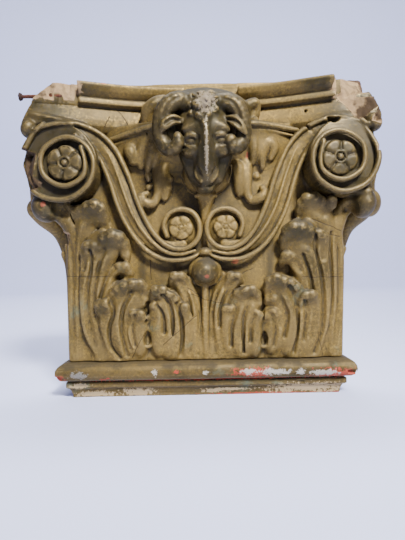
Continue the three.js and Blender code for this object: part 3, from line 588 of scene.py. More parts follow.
# The leaves of each side. Bodies: rows and flatness. Ribs and folds: rows. Lips: rows and the way down the
# leaf, or None for a lip that isn't hollowed below. Eye: the eyelet's middle as (across, height).
LEFT_LEAVES = {
    "bodies": [
        ([(-121.5, 34, 37, 5.5), (-122, 35, 90, 5), (-119, 37, 128, 6.5), (-108, 41, 163, 10.5),
          (-101, 43, 172, 12)], 0.62),
        ([(-97, 33, 36, 10), (-106, 36, 72, 10), (-105, 39, 104, 12), (-96, 43, 134, 15), (-89, 44, 144, 14)],
         0.55),
        ([(-80, 33, 36, 14), (-83, 37, 62, 15), (-78, 41, 84, 18), (-70, 43, 96, 15)], 0.42),
        ([(-64, 34, 40, 8), (-63, 39, 62, 9), (-62, 42, 74, 8)], 0.6),
        ([(-24, 33, 36, 9), (-29, 37, 60, 12), (-33, 42, 84, 13), (-36, 43, 93, 9)], 0.5),
        ([(-44, 35, 44, 6), (-43, 40, 66, 7), (-44, 42, 78, 6)], 0.65),
        ([(-9, 33, 36, 7), (-10, 37, 70, 7), (-16, 42, 96, 7.5), (-22, 44, 108, 7)], 0.7),
    ],
    "ribs": [
        [(-126, 34.5, 37, 2.6), (-125.5, 35.5, 90, 2.6), (-124.5, 37, 130, 3), (-122, 40, 160, 3.4)],
        [(-119.5, 37.5, 60, 2), (-118.6, 39, 110, 2.4), (-115, 42, 140, 3.2), (-110, 46, 164, 4)],
        [(-100, 36.5, 40, 3.2), (-110, 40, 60, 3.6), (-112.5, 42, 86, 3.8), (-110, 44, 110, 4),
         (-106, 46, 130, 5)],
        [(-91, 37.5, 40, 3), (-98.5, 41, 66, 3.4), (-98.6, 43.5, 95, 3.6), (-93, 46, 122, 4.4),
         (-85, 48, 142, 5)],
        [(-96, 41.5, 92, 2.4), (-90, 44, 108, 3), (-82, 46, 118, 3.2)],
        [(-84, 37, 39, 3.4), (-92, 41.5, 60, 3.6), (-94, 44.5, 78, 4.4)],
        [(-74, 39, 40, 3.4), (-81, 43, 62, 4), (-78, 46, 82, 4.6), (-68, 47.5, 98, 4.6)],
        [(-66, 41, 46, 2.2), (-70.5, 44, 62, 2.8), (-67, 46, 76, 3)],
        [(-60, 41, 48, 1.8), (-63.5, 43.5, 62, 2.2), (-59, 45.5, 76, 2.8)],
        [(-17.5, 36.5, 39, 2.6), (-19, 40, 58, 3), (-18, 44, 76, 4)],
        [(-28, 38, 40, 3), (-25.5, 42, 62, 3.4), (-29, 46, 86, 4.2)],
        [(-38, 39, 46, 2.2), (-34.5, 43, 66, 2.8), (-38, 45.5, 88, 3.2)],
        [(-46, 40, 50, 2), (-42.5, 43.5, 66, 2.6), (-45, 45, 80, 2.8)],
        [(-9.6, 37, 39, 2.4), (-8.6, 40, 72, 2.6), (-14, 45, 98, 3.4), (-24, 47, 112, 3.6)],
    ],
    "folds": [
        [(-123, 41, 158, 0.9), (-122.4, 39, 128, 0.9), (-123.2, 37.6, 80, 0.8), (-123.5, 37.5, 45, 0.7)],
        [(-117.6, 44, 158, 1), (-119.6, 41, 132, 0.9), (-121, 39, 104, 0.8)],
        [(-106, 48, 160, 1), (-112, 45, 142, 1), (-116, 42, 122, 0.9), (-117.4, 40, 100, 0.9)],
        [(-115.6, 42, 120, 1.2), (-117.4, 40.5, 92, 1.4), (-115, 39, 64, 1.4), (-107, 38, 40, 1.2)],
        [(-102.6, 49, 138, 0.9), (-102.6, 47, 122, 1), (-106.6, 45, 104, 1.1), (-108, 43, 80, 1),
         (-103, 40, 50, 1)],
        [(-90, 50, 138, 0.9), (-97, 47.5, 118, 1), (-101.4, 45, 95, 1), (-100, 42.5, 70, 1),
         (-94.6, 40, 44, 0.9)],
        [(-81.5, 47, 121, 1), (-89, 45, 112, 1), (-96, 43.5, 94, 0.9)],
        [(-84.6, 48, 92, 1.2), (-83.4, 46, 80, 1.2), (-88, 43, 66, 1.2), (-87.6, 40, 50, 1),
         (-80, 38.5, 38, 0.9)],
        [(-66, 49.5, 99, 1.1), (-74.4, 47, 84, 1.3), (-76.6, 44, 64, 1.2), (-73, 40, 40, 1)],
        [(-69.6, 48, 77, 1), (-73, 45, 62, 1), (-70, 42, 47, 0.9)],
        [(-64, 48, 78, 0.8), (-66.8, 45.6, 65, 0.9), (-65, 43, 50, 0.8)],
        [(-37.6, 50, 96, 1.1), (-31.4, 47, 84, 1.3), (-29.6, 43, 66, 1.2), (-32.4, 39.6, 46, 1)],
        [(-24.8, 48, 88, 1.2), (-22, 44, 74, 1.2), (-21.4, 41, 56, 1.1), (-23.4, 38.6, 40, 0.9)],
        [(-43.6, 47, 87, 0.9), (-38.6, 45, 78, 1), (-37.6, 42, 62, 0.9)],
        [(-14, 48, 108, 1), (-9.2, 44, 94, 1), (-5.4, 40.5, 78, 1), (-5.4, 39.5, 60, 0.9),
         (-7, 38.5, 40, 0.8)],
        [(-23, 49.5, 108, 0.9), (-15.6, 46, 94, 1), (-12.6, 42, 76, 0.9)],
    ],
    "lips": [
        ([(-118.5, 47, 173.5, 4), (-114, 49.5, 176, 4.6), (-108.6, 50, 175, 4.4), (-103, 51.5, 178, 5.6),
          (-95, 51.5, 177.6, 6.2), (-90, 48, 171, 4.6)], (0.1, 1)),
        ([(-99, 45, 165.5, 2.6), (-92.6, 47, 166, 3.2), (-86.6, 45, 161.6, 3)], (0, 1)),
        ([(-110.6, 44, 129, 3), (-109, 48, 139, 4.6), (-103, 50.5, 142.6, 5.2), (-97.4, 50.5, 140.4, 4.4)],
         (0.1, 1)),
        ([(-95, 49, 144, 4), (-89, 52, 149, 5.6), (-80, 53, 150.6, 6.6), (-73, 50, 145.4, 5.4),
          (-71.4, 46, 137.6, 3.4)], (0.1, 1)),
        ([(-72.4, 47, 135.4, 3.4), (-70.6, 47, 133.6, 3.4)], None),
        ([(-84, 44, 117.6, 2.4), (-79, 47, 122.6, 3.6), (-72.6, 48, 123.4, 4.2), (-68.4, 46, 119, 3.6),
          (-71, 44.5, 115.4, 2.6)], (0.1, 1)),
        ([(-99, 44, 82, 3), (-97.4, 48, 87, 4.6), (-91.6, 50, 89.4, 5.6), (-86, 49, 88, 4.6)], (0, 1)),
        ([(-84.6, 47, 97.6, 3.4), (-78.6, 50.5, 102.6, 4.2), (-70.4, 52, 105.6, 4.6),
          (-61.6, 51.6, 107.4, 4.6), (-55.4, 49, 105.4, 3.8), (-53.8, 46.5, 98, 2.8)], (0, 1)),
        ([(-55.4, 46, 93.6, 2.8), (-56, 45.6, 90, 2.4)], None),
        ([(-71.6, 45, 75.6, 2.4), (-66.4, 48.5, 79.2, 3.2), (-59, 49, 79.4, 3.4), (-54.4, 46.5, 76, 2.6)],
         (0, 1)),
        ([(-100.8, 40, 76, 2.4), (-99.4, 42, 70, 2.4), (-99, 41, 65.4, 2.6)], None),
        ([(-47.2, 46, 94.6, 3), (-46, 50, 100, 4), (-41.6, 52, 101.4, 4.4), (-35, 52, 99.6, 4.4),
          (-29, 50.6, 94.6, 4), (-25.6, 49, 89.6, 3.6)], (0, 1)),
        ([(-19, 49, 85.4, 4.6), (-18.4, 50, 84.8, 4.6)], None),
        ([(-15, 45.6, 78.6, 3.2), (-14, 45, 74.6, 2.8)], None),
        ([(-48.8, 46, 85.6, 2.6), (-44.8, 48.6, 87.6, 3), (-39.6, 47.6, 84, 2.6), (-36.6, 45, 77, 2)],
         (0, 1)),
        ([(-49.4, 44, 77.4, 2.4), (-43.6, 46, 78.2, 2.8), (-39.4, 45, 73.4, 2.2), (-37.6, 43, 67, 1.8)],
         (0, 1)),
        ([(-14.6, 42.6, 69, 2.2), (-16, 42, 62, 2.4), (-15.8, 40, 57, 1.8)], None),
        ([(-30, 46, 107, 3), (-28.6, 50, 112.6, 3.8), (-24, 51, 114, 3.8), (-18, 48.6, 112, 3.4),
          (-14.4, 46, 107.4, 2.8)], (0, 1)),
    ],
    "eye": (-53.4, 56),
}

RIGHT_LEAVES = {
    "bodies": [
        ([(121.5, 34, 37, 5.5), (123, 35, 90, 5), (120, 37, 128, 7), (109, 41, 160, 12), (102, 43, 172, 12)],
         0.6),
        ([(99, 33, 36, 11), (107, 36, 72, 11), (102, 39, 106, 13), (93, 43, 138, 16), (90, 45, 150, 14)],
         0.55),
        ([(84, 33, 36, 14), (87, 37, 62, 15), (80, 41, 86, 17), (70, 43, 98, 14)], 0.42),
        ([(65, 34, 40, 8), (64, 39, 62, 9), (62, 42, 76, 8)], 0.6),
        ([(24, 33, 36, 9), (29, 37, 60, 12), (34, 42, 82, 13), (38, 43, 92, 10)], 0.5),
        ([(44, 35, 44, 6), (44, 40, 64, 7), (47, 42, 74, 6)], 0.65),
        ([(11, 33, 36, 7), (11, 37, 70, 7), (16, 42, 94, 7.5), (25, 44, 107, 7)], 0.7),
    ],
    "ribs": [
        [(126, 34.5, 37, 2.6), (127.6, 35.5, 90, 2.6), (128, 37, 130, 3), (125, 39, 158, 3.4)],
        [(117, 36.5, 40, 2), (121, 38.6, 80, 2.4), (120, 41, 120, 3), (113, 44.5, 152, 4)],
        [(104, 36.5, 40, 3), (111, 40, 62, 3.4), (113, 42, 90, 3.4), (110.4, 44.5, 118, 4),
         (106, 47, 140, 5.4)],
        [(96, 37.5, 42, 3), (103.6, 41, 70, 3.2), (104, 43.5, 98, 3.6), (97, 46, 126, 5), (90, 48, 148, 6)],
        [(99, 41, 86, 2.4), (91, 44, 106, 3.2), (81, 46, 124, 3.6)],
        [(93, 37.5, 42, 3), (96.6, 41.5, 62, 3.4), (98.6, 44.5, 84, 4.4)],
        [(86, 38.5, 40, 3), (88.4, 42, 62, 3), (87.6, 45, 84, 3)],
        [(76, 39, 40, 3.6), (80.4, 43, 62, 4.4), (76.4, 46, 86, 5), (68, 48, 101, 5)],
        [(66, 41, 46, 2.4), (68.4, 44, 62, 3), (65.6, 46, 74, 3.2)],
        [(58.4, 41.5, 50, 2), (61, 43.6, 62, 2.4), (58.6, 45.6, 74, 2.8)],
        [(17.5, 36.5, 39, 2.6), (20, 40, 58, 3), (20, 44, 74, 4)],
        [(30, 38, 40, 3), (27.4, 42, 60, 3.6), (31.4, 46, 84, 4.6)],
        [(38.6, 39, 44, 2.2), (39.4, 43, 62, 2.8), (44, 46, 84, 3.6)],
        [(45, 40.5, 52, 2.2), (45.4, 43.6, 64, 2.8), (48.6, 45, 74, 2.8)],
        [(14.6, 37, 39, 2.4), (10.6, 40, 66, 2.6), (13.6, 44, 92, 3.4), (22, 47, 108, 3.8)],
    ],
    "folds": [
        [(124, 39.5, 150, 0.9), (124.6, 38.6, 128, 0.9), (124.4, 37.6, 80, 1), (120.4, 37.5, 45, 1)],
        [(117, 44, 150, 1), (116.4, 42, 128, 1), (117.4, 40, 100, 1.1), (116, 39, 70, 1),
         (110, 37.5, 42, 0.9)],
        [(101, 50, 148, 1), (101, 48, 134, 1.1), (106.6, 45, 112, 1.1), (109, 42.6, 86, 1.1),
         (107.6, 40.5, 60, 1), (101, 38, 40, 1)],
        [(89.6, 49, 130, 0.8), (96, 46, 112, 0.9), (99.6, 43.6, 92, 0.9)],
        [(76.8, 50, 102, 1.2), (83, 46.6, 86, 1.3), (84.6, 43, 66, 1.2), (81.6, 39, 41, 1)],
        [(91, 47.6, 90, 1), (92.4, 44.6, 74, 1), (91, 41, 52, 0.9)],
        [(70, 48.6, 88, 1), (74.6, 46, 74, 1.1), (72.4, 43, 56, 1)],
        [(60.4, 47.6, 76, 1), (64.4, 45.2, 63, 1), (62.6, 42.8, 48, 0.9)],
        [(28, 48.6, 81, 1.1), (24.4, 44, 66, 1.1), (23.6, 40, 48, 1)],
        [(42.6, 50, 92, 1), (36, 46.6, 77, 1.2), (34.6, 43, 60, 1.1), (35, 39.6, 42, 1)],
        [(45, 47.4, 76, 0.9), (41.6, 45, 66, 1), (41.6, 42.6, 52, 0.9)],
        [(17.6, 48, 110, 1), (11.4, 44.6, 97, 1), (6.8, 40.6, 80, 1), (6.6, 39.6, 60, 0.9),
         (9.6, 38.5, 40, 0.9)],
        [(29, 49.6, 108, 0.9), (21, 46.6, 99, 1), (14.6, 43, 84, 1), (13, 40.6, 66, 0.9)],
    ],
    "lips": [
        ([(88.6, 44, 170, 3), (90.4, 48.6, 178, 4.6), (96, 51.5, 181.6, 5.6), (104, 51, 180.6, 5.2),
          (110.4, 48, 176, 4.2)], (0, 1)),
        ([(116.6, 50, 179.6, 4.8), (117, 51.5, 179, 4.4)], None),
        ([(75, 45, 138, 3.6), (74.6, 49.5, 148, 5.6), (79, 53, 154, 6.6), (87, 54, 154.6, 6.4),
          (95, 52.6, 152, 5.6), (99.4, 50.6, 148, 4.4)], (0, 1)),
        ([(101.4, 51, 148.6, 4), (106, 51.6, 149, 4.6), (109.4, 49, 143.6, 4.2), (109, 46.5, 134, 3.2)],
         (0, 1)),
        ([(77.6, 46, 144, 3), (79, 46.6, 139.4, 3)], None),
        ([(72, 43.6, 124, 2.6), (73, 47, 129, 3.8), (78.6, 48.4, 130.6, 4), (84, 47.6, 127.4, 3.2),
          (88, 45.6, 121.4, 2.2)], (0, 1)),
        ([(57.4, 45, 99.6, 3.4), (59, 49.6, 107, 4.8), (65, 52, 109.4, 5), (72, 52, 107, 4.4),
          (79.4, 51, 104, 4.4), (86, 48.6, 99, 3.6)], (0, 1)),
        ([(87.4, 45, 87.6, 3), (90.6, 49.6, 92.6, 4.4), (96.4, 50.6, 94.4, 4.6), (100.4, 48, 90.6, 3.8),
          (102, 44.6, 82, 2.6), (101, 42.6, 70, 2.2), (98.6, 41, 60, 1.8)], (0, 1)),
        ([(56.6, 45, 90, 2.6), (61.6, 48.6, 92, 3), (68.6, 48, 88.6, 2.6), (73, 45.6, 82, 2)], (0, 1)),
        ([(55.8, 44, 75, 2.6), (61.4, 47.6, 79, 3.2), (67.4, 46.6, 76.6, 2.8), (70, 44, 70, 2)], (0, 1)),
        ([(26.4, 46, 90.6, 3.2), (30.6, 50, 96.4, 4.2), (38, 52, 99.4, 4.6), (45, 51, 99, 4.2),
          (48.6, 48, 94, 3.2)], (0, 1)),
        ([(49.6, 45.6, 89, 2.6), (49.2, 45, 86.6, 2.2)], None),
        ([(17, 45.6, 82.4, 3), (21.6, 48.6, 83, 3.4), (26, 47, 81.6, 2.8)], (0, 1)),
        ([(19.6, 45, 77.4, 3.4), (19.4, 44, 74, 3.2)], None),
        ([(17.4, 42.4, 70, 2.2), (18.8, 42, 63, 2.4), (17.6, 40, 57, 1.8)], None),
        ([(42, 45, 73.4, 2.6), (46, 48, 77.2, 3.2), (52, 47, 76.8, 2.8)], (0, 1)),
        ([(18.6, 45.6, 108.6, 3), (23, 49.4, 112.6, 3.6), (29, 50.6, 112.4, 3.8), (33.6, 48, 110, 3)],
         (0, 1)),
    ],
    "eye": (54.0, 54),
}


def model_leaves(clay, leaves):
    """The acanthus of one side: blades, bodies, ribs, rolled lips, folds and the eyelet between them."""
    side = math.copysign(1, leaves["eye"][0])
    for centre, sizes, turn in BLADES:
        if centre[0] * side > 0:
            clay.lump(centre, sizes, 3.0, turn)
    for rows, flat in leaves["bodies"]:
        clay.strand(shifted(rows, 0.6, 1.08), 3.0, flat)
    for rows in leaves["ribs"]:
        clay.strand(shifted(rows, -0.7, 1.15), 3.0)
    for rows, fall in leaves["lips"]:
        lip(clay, rows, fall or (0, 1), bool(fall))
    for rows in leaves["folds"]:
        fold(clay, rows)
    x, z = leaves["eye"]
    drop = [(x + 0.6, 41.5, z + 10), (x + 4.4, 41.5, z + 1.6), (x + 3.8, 41.5, z - 5.4), (x - 0.4, 42, z - 8),
            (x - 4.6, 41.5, z - 5), (x - 4.2, 41.5, z + 1.4), (x + 0.2, 41.5, z + 10)]
    clay.lump((x, 43, z - 1), (3.6, 5, 8), 1.0, carve=True)
    clay.strand([(*p, 1.7) for p in drop], 0.6)
    clay.strand([(x - 1, 46, z + 14, 1), (x - 0.4, 45, z + 26, 1.2), (x - 0.4, 44, z + 44, 1)], 0.8, 1.6,
                carve=True)


def model_middle(clay):
    """The middle stem with its egg, knob and goblet."""
    clay.strand([(0, 35, 36, 3.4), (0, 39.5, 64, 3.2), (0.4, 42, 94, 3.2), (0.6, 43, 106, 3)], 1.0)
    clay.strand([(2.6, 41.6, 40, 0.7), (2.6, 43.2, 70, 0.7), (2.8, 45, 100, 0.7)], 0.5, carve=True)
    clay.lump((0.8, 42, 117), (15.5, 7, 14.5), 1.5)
    clay.lump((0.8, 46.5, 116.5), (12.2, 12, 11.6), 0.6)
    clay.lump((1.5, 42, 134.6), (6.4, 7.6, 4.6), 0.8)
    clay.ring((1.5, 42.5, 131), 3.5, 1.4, 0.8)
    clay.strand([(1.2, 38, 139, 2.4), (1.2, 39.5, 152, 2.2), (1.6, 41, 166, 3.6), (2.6, 41, 180, 6.6),
                 (3, 42, 185.6, 8.4)], 1.2, 0.8)
    clay.strand([(-5.6, 43.5, 186.4, 2.2), (3, 48, 187, 2.4), (11.6, 43.5, 186.4, 2.2)], 0.8)
    clay.lump((4.2, 40, 206), (22.5, 13.5, 19), 1.5)
    clay.strand([(24, 46, 198, 0.8), (27, 47, 210, 0.8), (25, 47.5, 222, 0.8)], 0.8)


def model_sprays(clay):
    """Buds and leaves that hang on each side of the head."""
    left = [
        ([(-50.6, 46, 256, 4.6), (-48.6, 50, 264, 5.4), (-41, 52, 270, 5.4), (-34, 50, 274, 4)], 1.0),
        ([(-66, 43, 234, 4), (-65.4, 47, 228, 5.6), (-63, 46, 220, 4.4)], 1.0),
        ([(-60, 42, 232, 3), (-58.6, 46, 224, 4), (-57, 44, 215, 2.6)], 0.8),
        ([(-43, 46, 254, 3), (-49, 48, 243, 4.4), (-54.6, 47.6, 230, 4.6), (-57, 44, 216, 2.4)], 0.8),
        ([(-41, 48, 246, 3), (-44.6, 50, 234, 4.4), (-48.4, 47, 220, 3.6), (-51, 43, 210, 1.8)], 0.8),
        ([(-38, 47, 236, 2.6), (-41.4, 48, 226, 3.4), (-44, 44, 216, 2)], 0.8),
        ([(-30, 40, 222, 2.6), (-36, 43.6, 213, 4), (-40, 44.6, 200, 4.4), (-41.6, 44.4, 189, 3.6),
          (-46, 44.6, 180.6, 3.8), (-53.6, 45.6, 181.6, 4.4), (-56, 45, 187.4, 3.4),
          (-51.6, 44, 190, 2.4)], 1.0),
        ([(-33, 41, 206, 1.8), (-29.6, 42.6, 203, 2.6)], 0.8),
        ([(-36, 41, 198, 1.8), (-31.4, 42.6, 195.6, 2.8)], 0.8),
        ([(-38, 41, 190, 1.8), (-35.2, 42.4, 185.6, 2.6)], 0.8),
        ([(-47, 41, 209, 1.8), (-50.4, 42.8, 206.6, 2.8), (-49.6, 42, 203, 2)], 0.8),
        ([(-45.6, 41, 199, 1.8), (-50, 42.8, 196, 2.6)], 0.8),
    ]
    right = [
        ([(37, 48, 262, 3), (44, 51.6, 267, 4.6), (50.4, 51, 268.6, 3.6), (51.6, 48, 260, 2.4)], 0.8),
        ([(44, 46, 252, 3.4), (49, 50, 252.6, 3.8), (51.4, 48, 248.6, 2.6)], 0.6),
        ([(41, 46, 250, 2.6), (45.6, 49.4, 240, 4.4), (47.6, 49, 228, 4.6), (47, 45, 217, 2.4)], 0.8),
        ([(49, 45, 248, 2.4), (52.6, 48, 238, 3.8), (54.6, 47, 224, 3.8), (56, 43.6, 212, 2)], 0.8),
        ([(56.6, 43, 221, 3), (58, 46, 229, 4.4), (61.6, 47, 234, 4.6), (66, 45.6, 229, 4.4),
          (64, 43.6, 221, 3)], 0.8),
        ([(29, 41, 220, 2.6), (33.4, 45.4, 211, 5), (33.6, 44, 199, 3.8), (32, 41, 194, 2.2)], 1.0),
        ([(36, 40, 221, 2.4), (41.4, 43.4, 216, 3.4), (41, 44.4, 202, 4), (41.6, 43.6, 188, 3.6),
          (45.4, 43.6, 182, 3.6), (52.4, 45, 183.4, 4.4), (57.4, 45, 187.6, 4), (55.6, 43.6, 193, 3)], 1.0),
        ([(50.6, 38, 204.6, 3.4), (50.8, 40, 204.4, 2.8)], 0.8),
    ]
    for centre, sizes, turn in (((-47, 41, 233), (12, 6.5, 20), -0.25), ((-38, 40, 203), (8, 5.5, 19), 0.2),
                                ((50, 41, 235), (10, 6.5, 20), 0.2), ((38, 40, 204), (8, 5.5, 19), -0.2),
                                ((-46, 42, 262), (10, 8, 10), 0.3), ((45, 42, 260), (9, 8, 10), -0.3)):
        clay.lump(centre, sizes, 2.5, turn)
    for rows, blend in left + right:
        clay.strand(shifted(rows, -1.8, 1.1), 2.2 * blend, 0.85)
    for rows in ([(-46.6, 52, 248, 0.7), (-51, 52, 236, 0.9), (-55, 50, 222, 0.7)],
                 [(-40.6, 52, 240, 0.7), (-45, 53, 228, 0.9)],
                 [(-34, 45.6, 216, 0.7), (-38, 48.6, 202, 0.8), (-41.4, 48, 188, 0.7)],
                 [(45, 54, 238, 0.8), (47.4, 53, 226, 0.8)],
                 [(52.6, 52, 240, 0.7), (54, 50.6, 226, 0.7)], [(41, 48, 212, 0.7), (41.4, 48, 196, 0.8)],
                 [(46, 47.6, 187.6, 1.1), (51, 48.6, 188.4, 1.3)],
                 [(61, 51.6, 229.6, 1.4), (60.6, 50, 224.6, 1.2)],
                 [(-50.4, 48.4, 184.6, 1.2), (-47.6, 47.4, 186, 1)]):
        clay.strand(rows, 0.7, carve=True)


def model_ram(clay):
    """The ram's head with its curled horns, under a smooth hood."""
    middle = 3.6
    clay.lump((2, 48, 261), (43, 23, 21), 2.5)
    clay.strand([(3, 40, 240, 18), (3, 56, 242, 19)], 4.0)
    clay.lump((3, 58, 246), (26, 22, 20), 3.0)
    clay.strand([(3, 52, 240, 21.5), (3, 52.5, 222, 19.5), (2.8, 51, 208, 14), (2.4, 50, 197, 9.5)], 4.0)
    clay.strand([(3.4, 68, 247, 14), (3.6, 70, 233, 12.5), (3.8, 68.5, 219, 11), (3.6, 64, 206, 9.8),
                 (3, 59.5, 196.4, 8.6)], 4.0)
    clay.strand([(3.8, 80.6, 246, 2.4), (3.9, 82.4, 233, 2.5), (4, 79.4, 219, 2.4), (4, 74.2, 207, 2.6)], 2.5)
    clay.lump((2.4, 57, 190.4), (8, 6.5, 5), 3.0)
    clay.strand([(-4.6, 62, 193, 0.6), (-1, 65, 190.8, 0.8), (2.4, 66.4, 190, 0.8), (6, 65, 190.8, 0.8),
                 (9.4, 62, 193, 0.6)], 0.8, 1.6, carve=True)
    for side in (-1, 1):
        eye = middle + side * 12.1
        clay.strand(mirrored([(16, 63, 240, 7), (17.6, 61, 226, 7.4), (14, 58, 212, 7), (9.6, 56, 200, 6)],
                             side, middle), 4.0)
        clay.lump((eye, 74.4, 238.4), (9, 6, 5.4), 4.0, side * -0.35)
        clay.lump((eye + side * 0.6, 82, 228.6), (6.8, 6.0, 4.6), 3.0, carve=True)
        clay.lump((eye + side * 0.6, 69.2, 220.0), (7.6, 6.0, 5.4), 3.0)
        clay.lump((eye + side * 0.4, 71.4, 227.6), (5.8, 5.6, 4.2), 0.5)
        clay.strand([(eye - side * 6.6, 75.6, 225.6, 1.0), (eye - side * 3, 77.6, 230.8, 2.0),
                     (eye + side * 2.8, 76.8, 231.8, 2.2), (eye + side * 7.6, 71.6, 227.4, 1.4)], 1.0)
        clay.strand([(eye - side * 6.4, 75.4, 224.6, 0.9), (eye - side * 1.4, 76, 222.4, 1.3),
                     (eye + side * 3.6, 74.6, 222.8, 1.3), (eye + side * 7.4, 71.4, 226.6, 1.0)], 1.0)
        clay.strand(mirrored([(6.4, 79, 229, 0.9), (9.6, 77, 219, 1.4), (9.4, 72, 209, 1.1)], side, middle),
                    2.4, carve=True)
        clay.strand(mirrored([(9, 74.6, 220.4, 2), (14, 71.6, 218.6, 2.6), (18, 67.6, 221, 2)], side, middle),
                    3.0)
        clay.strand(mirrored([(17.4, 69.4, 214, 1.2), (13.4, 68, 206, 1.6), (10.6, 66, 199, 1.2)], side,
                             middle), 2.0, carve=True)
        clay.strand(mirrored([(7.8, 70.6, 206, 0.8), (6.2, 71.2, 201.6, 1.5), (3, 71.6, 196.8, 1.0)], side,
                             middle), 0.8, 1.8,
                    carve=True)
        clay.strand(mirrored([(9.4, 66.4, 205, 1.4), (8.4, 66.4, 199.4, 1.7), (4.6, 67.4, 194.6, 1.4)], side,
                             middle), 1.4)
        clay.strand(mirrored([(5, 70, 257, 7), (12, 71, 261, 7), (19, 71, 262, 7)], side, middle), 2.0)
        clay.lump((middle + side * 25.5, 80, 251.6), (6.4, 12, 4.4), 1.2, side * -0.4, carve=True)
        clay.lump((middle + side * 27, 80, 231.6), (4.8, 12, 5.2), 1.2, carve=True)
    horns = ([(-9, 69, 262, 6.6), (-20, 73, 262.6, 7.2), (-30, 73.6, 256, 7.2), (-35, 71.4, 245, 6.6),
              (-35, 69, 233, 6.4), (-30.6, 69, 224.4, 6.4), (-24.4, 71.4, 222, 5.8), (-19.8, 74.6, 227, 4.6),
              (-20.6, 75.6, 233, 3)],
             [(14, 69, 257, 6.2), (21, 73, 260, 6.6), (29.6, 73.6, 256, 6.8), (35, 71.6, 246, 6.4),
              (36, 69.4, 234, 6.2), (33, 69.4, 225.6, 6.4), (27.6, 71.4, 222.6, 6), (24.4, 74, 227.6, 4.6)])
    for rows in horns:
        clay.strand(rows, 0.8, 1.0, ripple=0.75, period=4.2)
        clay.strand([(x * 0.9 + 0.4, h + r + 0.9, z + 0.2, 1.3) for x, h, z, r in rows[1:5]], 1.6, carve=True)
    for ear in ([(-18, 73, 245.4, 3), (-24, 77.4, 245, 4.6), (-29.6, 78.4, 241.4, 4.6),
                 (-34, 76, 236.6, 2.6)],
                [(22, 73, 246, 3), (27, 77.4, 243.4, 4.4), (32, 79, 238.6, 4.2), (37, 78, 232, 1.8)]):
        clay.strand(ear, 0.7, 0.6)
        clay.strand([(x, h + 2.4, z - 0.8, 0.42 * r) for x, h, z, r in ear[:3]], 1.2, carve=True)
    clay.lump((2, 70, 257), (13, 13, 13.5), 2.0)
    curls = [(-7, 79, 250, 4), (-1.6, 82.6, 245.6, 4), (5, 83, 247.4, 4.2), (11.4, 80, 251.6, 4),
             (-8.6, 78, 257.6, 4.2), (-3, 82.6, 255, 4.6), (4.6, 83, 257, 4.6), (11.6, 79, 260, 4.4),
             (-6.6, 77, 264.4, 4.4), (1.4, 78.4, 264.6, 4.8), (9, 76, 266, 4.4), (2.4, 83.4, 240.6, 3.2)]
    for i, (x, h, z, r) in enumerate(curls):
        lean = 2.4 * i
        clay.lump((x, h - 1.4, z), (r * 1.05, r * 0.85, r * 0.8), 1.8, lean)
        clay.ring((x + 0.34 * r * math.cos(lean), h + r * 0.35, z + 0.34 * r * math.sin(lean)), r * 0.55, 0.6,
                  0.6, carve=True)
        clay.strand([(x - r, h + 0.4, z + r * math.sin(lean), 0.6),
                     (x, h + r * 0.4, z + r * math.cos(lean), 0.8),
                     (x + r, h + 0.2, z - r * math.sin(lean), 0.6)], 0.6, carve=True)


def model_sides(clay):
    """Plain upright leaves on the two side faces."""
    for side in (-1, 1):
        for depth, top, width in ((7, 126, 3.2), (17, 158, 3.8), (27, 136, 3.2)):
            edge = 126.5
            clay.strand(mirrored([(edge, depth, 37, width * 0.8), (edge + 1, depth, 80, width),
                                  (edge + 3.4, depth, top - 14, width * 1.1),
                                  (edge + 7, depth, top, width * 1.2)], side), 1.5)


# Blocks broken away: centre, half sizes, roll and yaw in degrees, roughness
BREAKS = [
    ((-141, 62, 302.5), (34, 30, 15.5), -24, -18, 1.2), ((-158, 52, 293), (14, 60, 14), 34, 12, 1.4),
    ((-128, 71, 285.5), (17, 15, 10.5), -6, 24, 1.3), ((-158.5, 68, 216), (13, 15, 12.5), 14, 36, 0.9),
    ((-158, 70, 199), (13, 12.5, 11), -26, 30, 1.0), ((-163, 50, 178), (5, 12, 15), -10, 20, 0.8),
    ((150, 65, 287), (26, 22, 12), -14, 24, 1.4), ((143, 73, 273), (20, 17, 15), -36, -18, 1.3),
    ((167, 44, 273), (12, 50, 20), -24, -10, 1.2), ((155, 74, 252.5), (8, 13, 9), 20, -34, 0.9),
    ((160, 72, 232), (6, 10, 14), 14, -30, 0.8), ((-130, 37, 150), (5, 12, 5), 14, 0, 0.6),
]
# Open cracks, as rows
CRACKS = [
    [(-79.2, 62, 291, 0.55), (-79.6, 54, 278, 0.55), (-79.9, 46, 267, 0.5), (-84.6, 46, 261, 0.35)],
    [(75.3, 62, 292, 0.8), (75, 54, 278, 0.8), (74.8, 48, 262, 0.8), (82, 46, 255.6, 0.9),
     (89, 47, 249.5, 0.9), (95, 52, 246, 1.1), (101, 54, 240.6, 1.1), (108, 57, 234.6, 1.0)],
    [(-119.6, 47, 180, 0.8), (-120.4, 46, 170, 0.8), (-118, 44, 162, 0.6)],
    [(113, 60, 252, 1.8), (117, 60, 249, 3.2), (122, 61, 250.6, 1.6)],
    [(-127, 37, 156, 0.8), (-134, 38, 155.4, 1.0)],
]


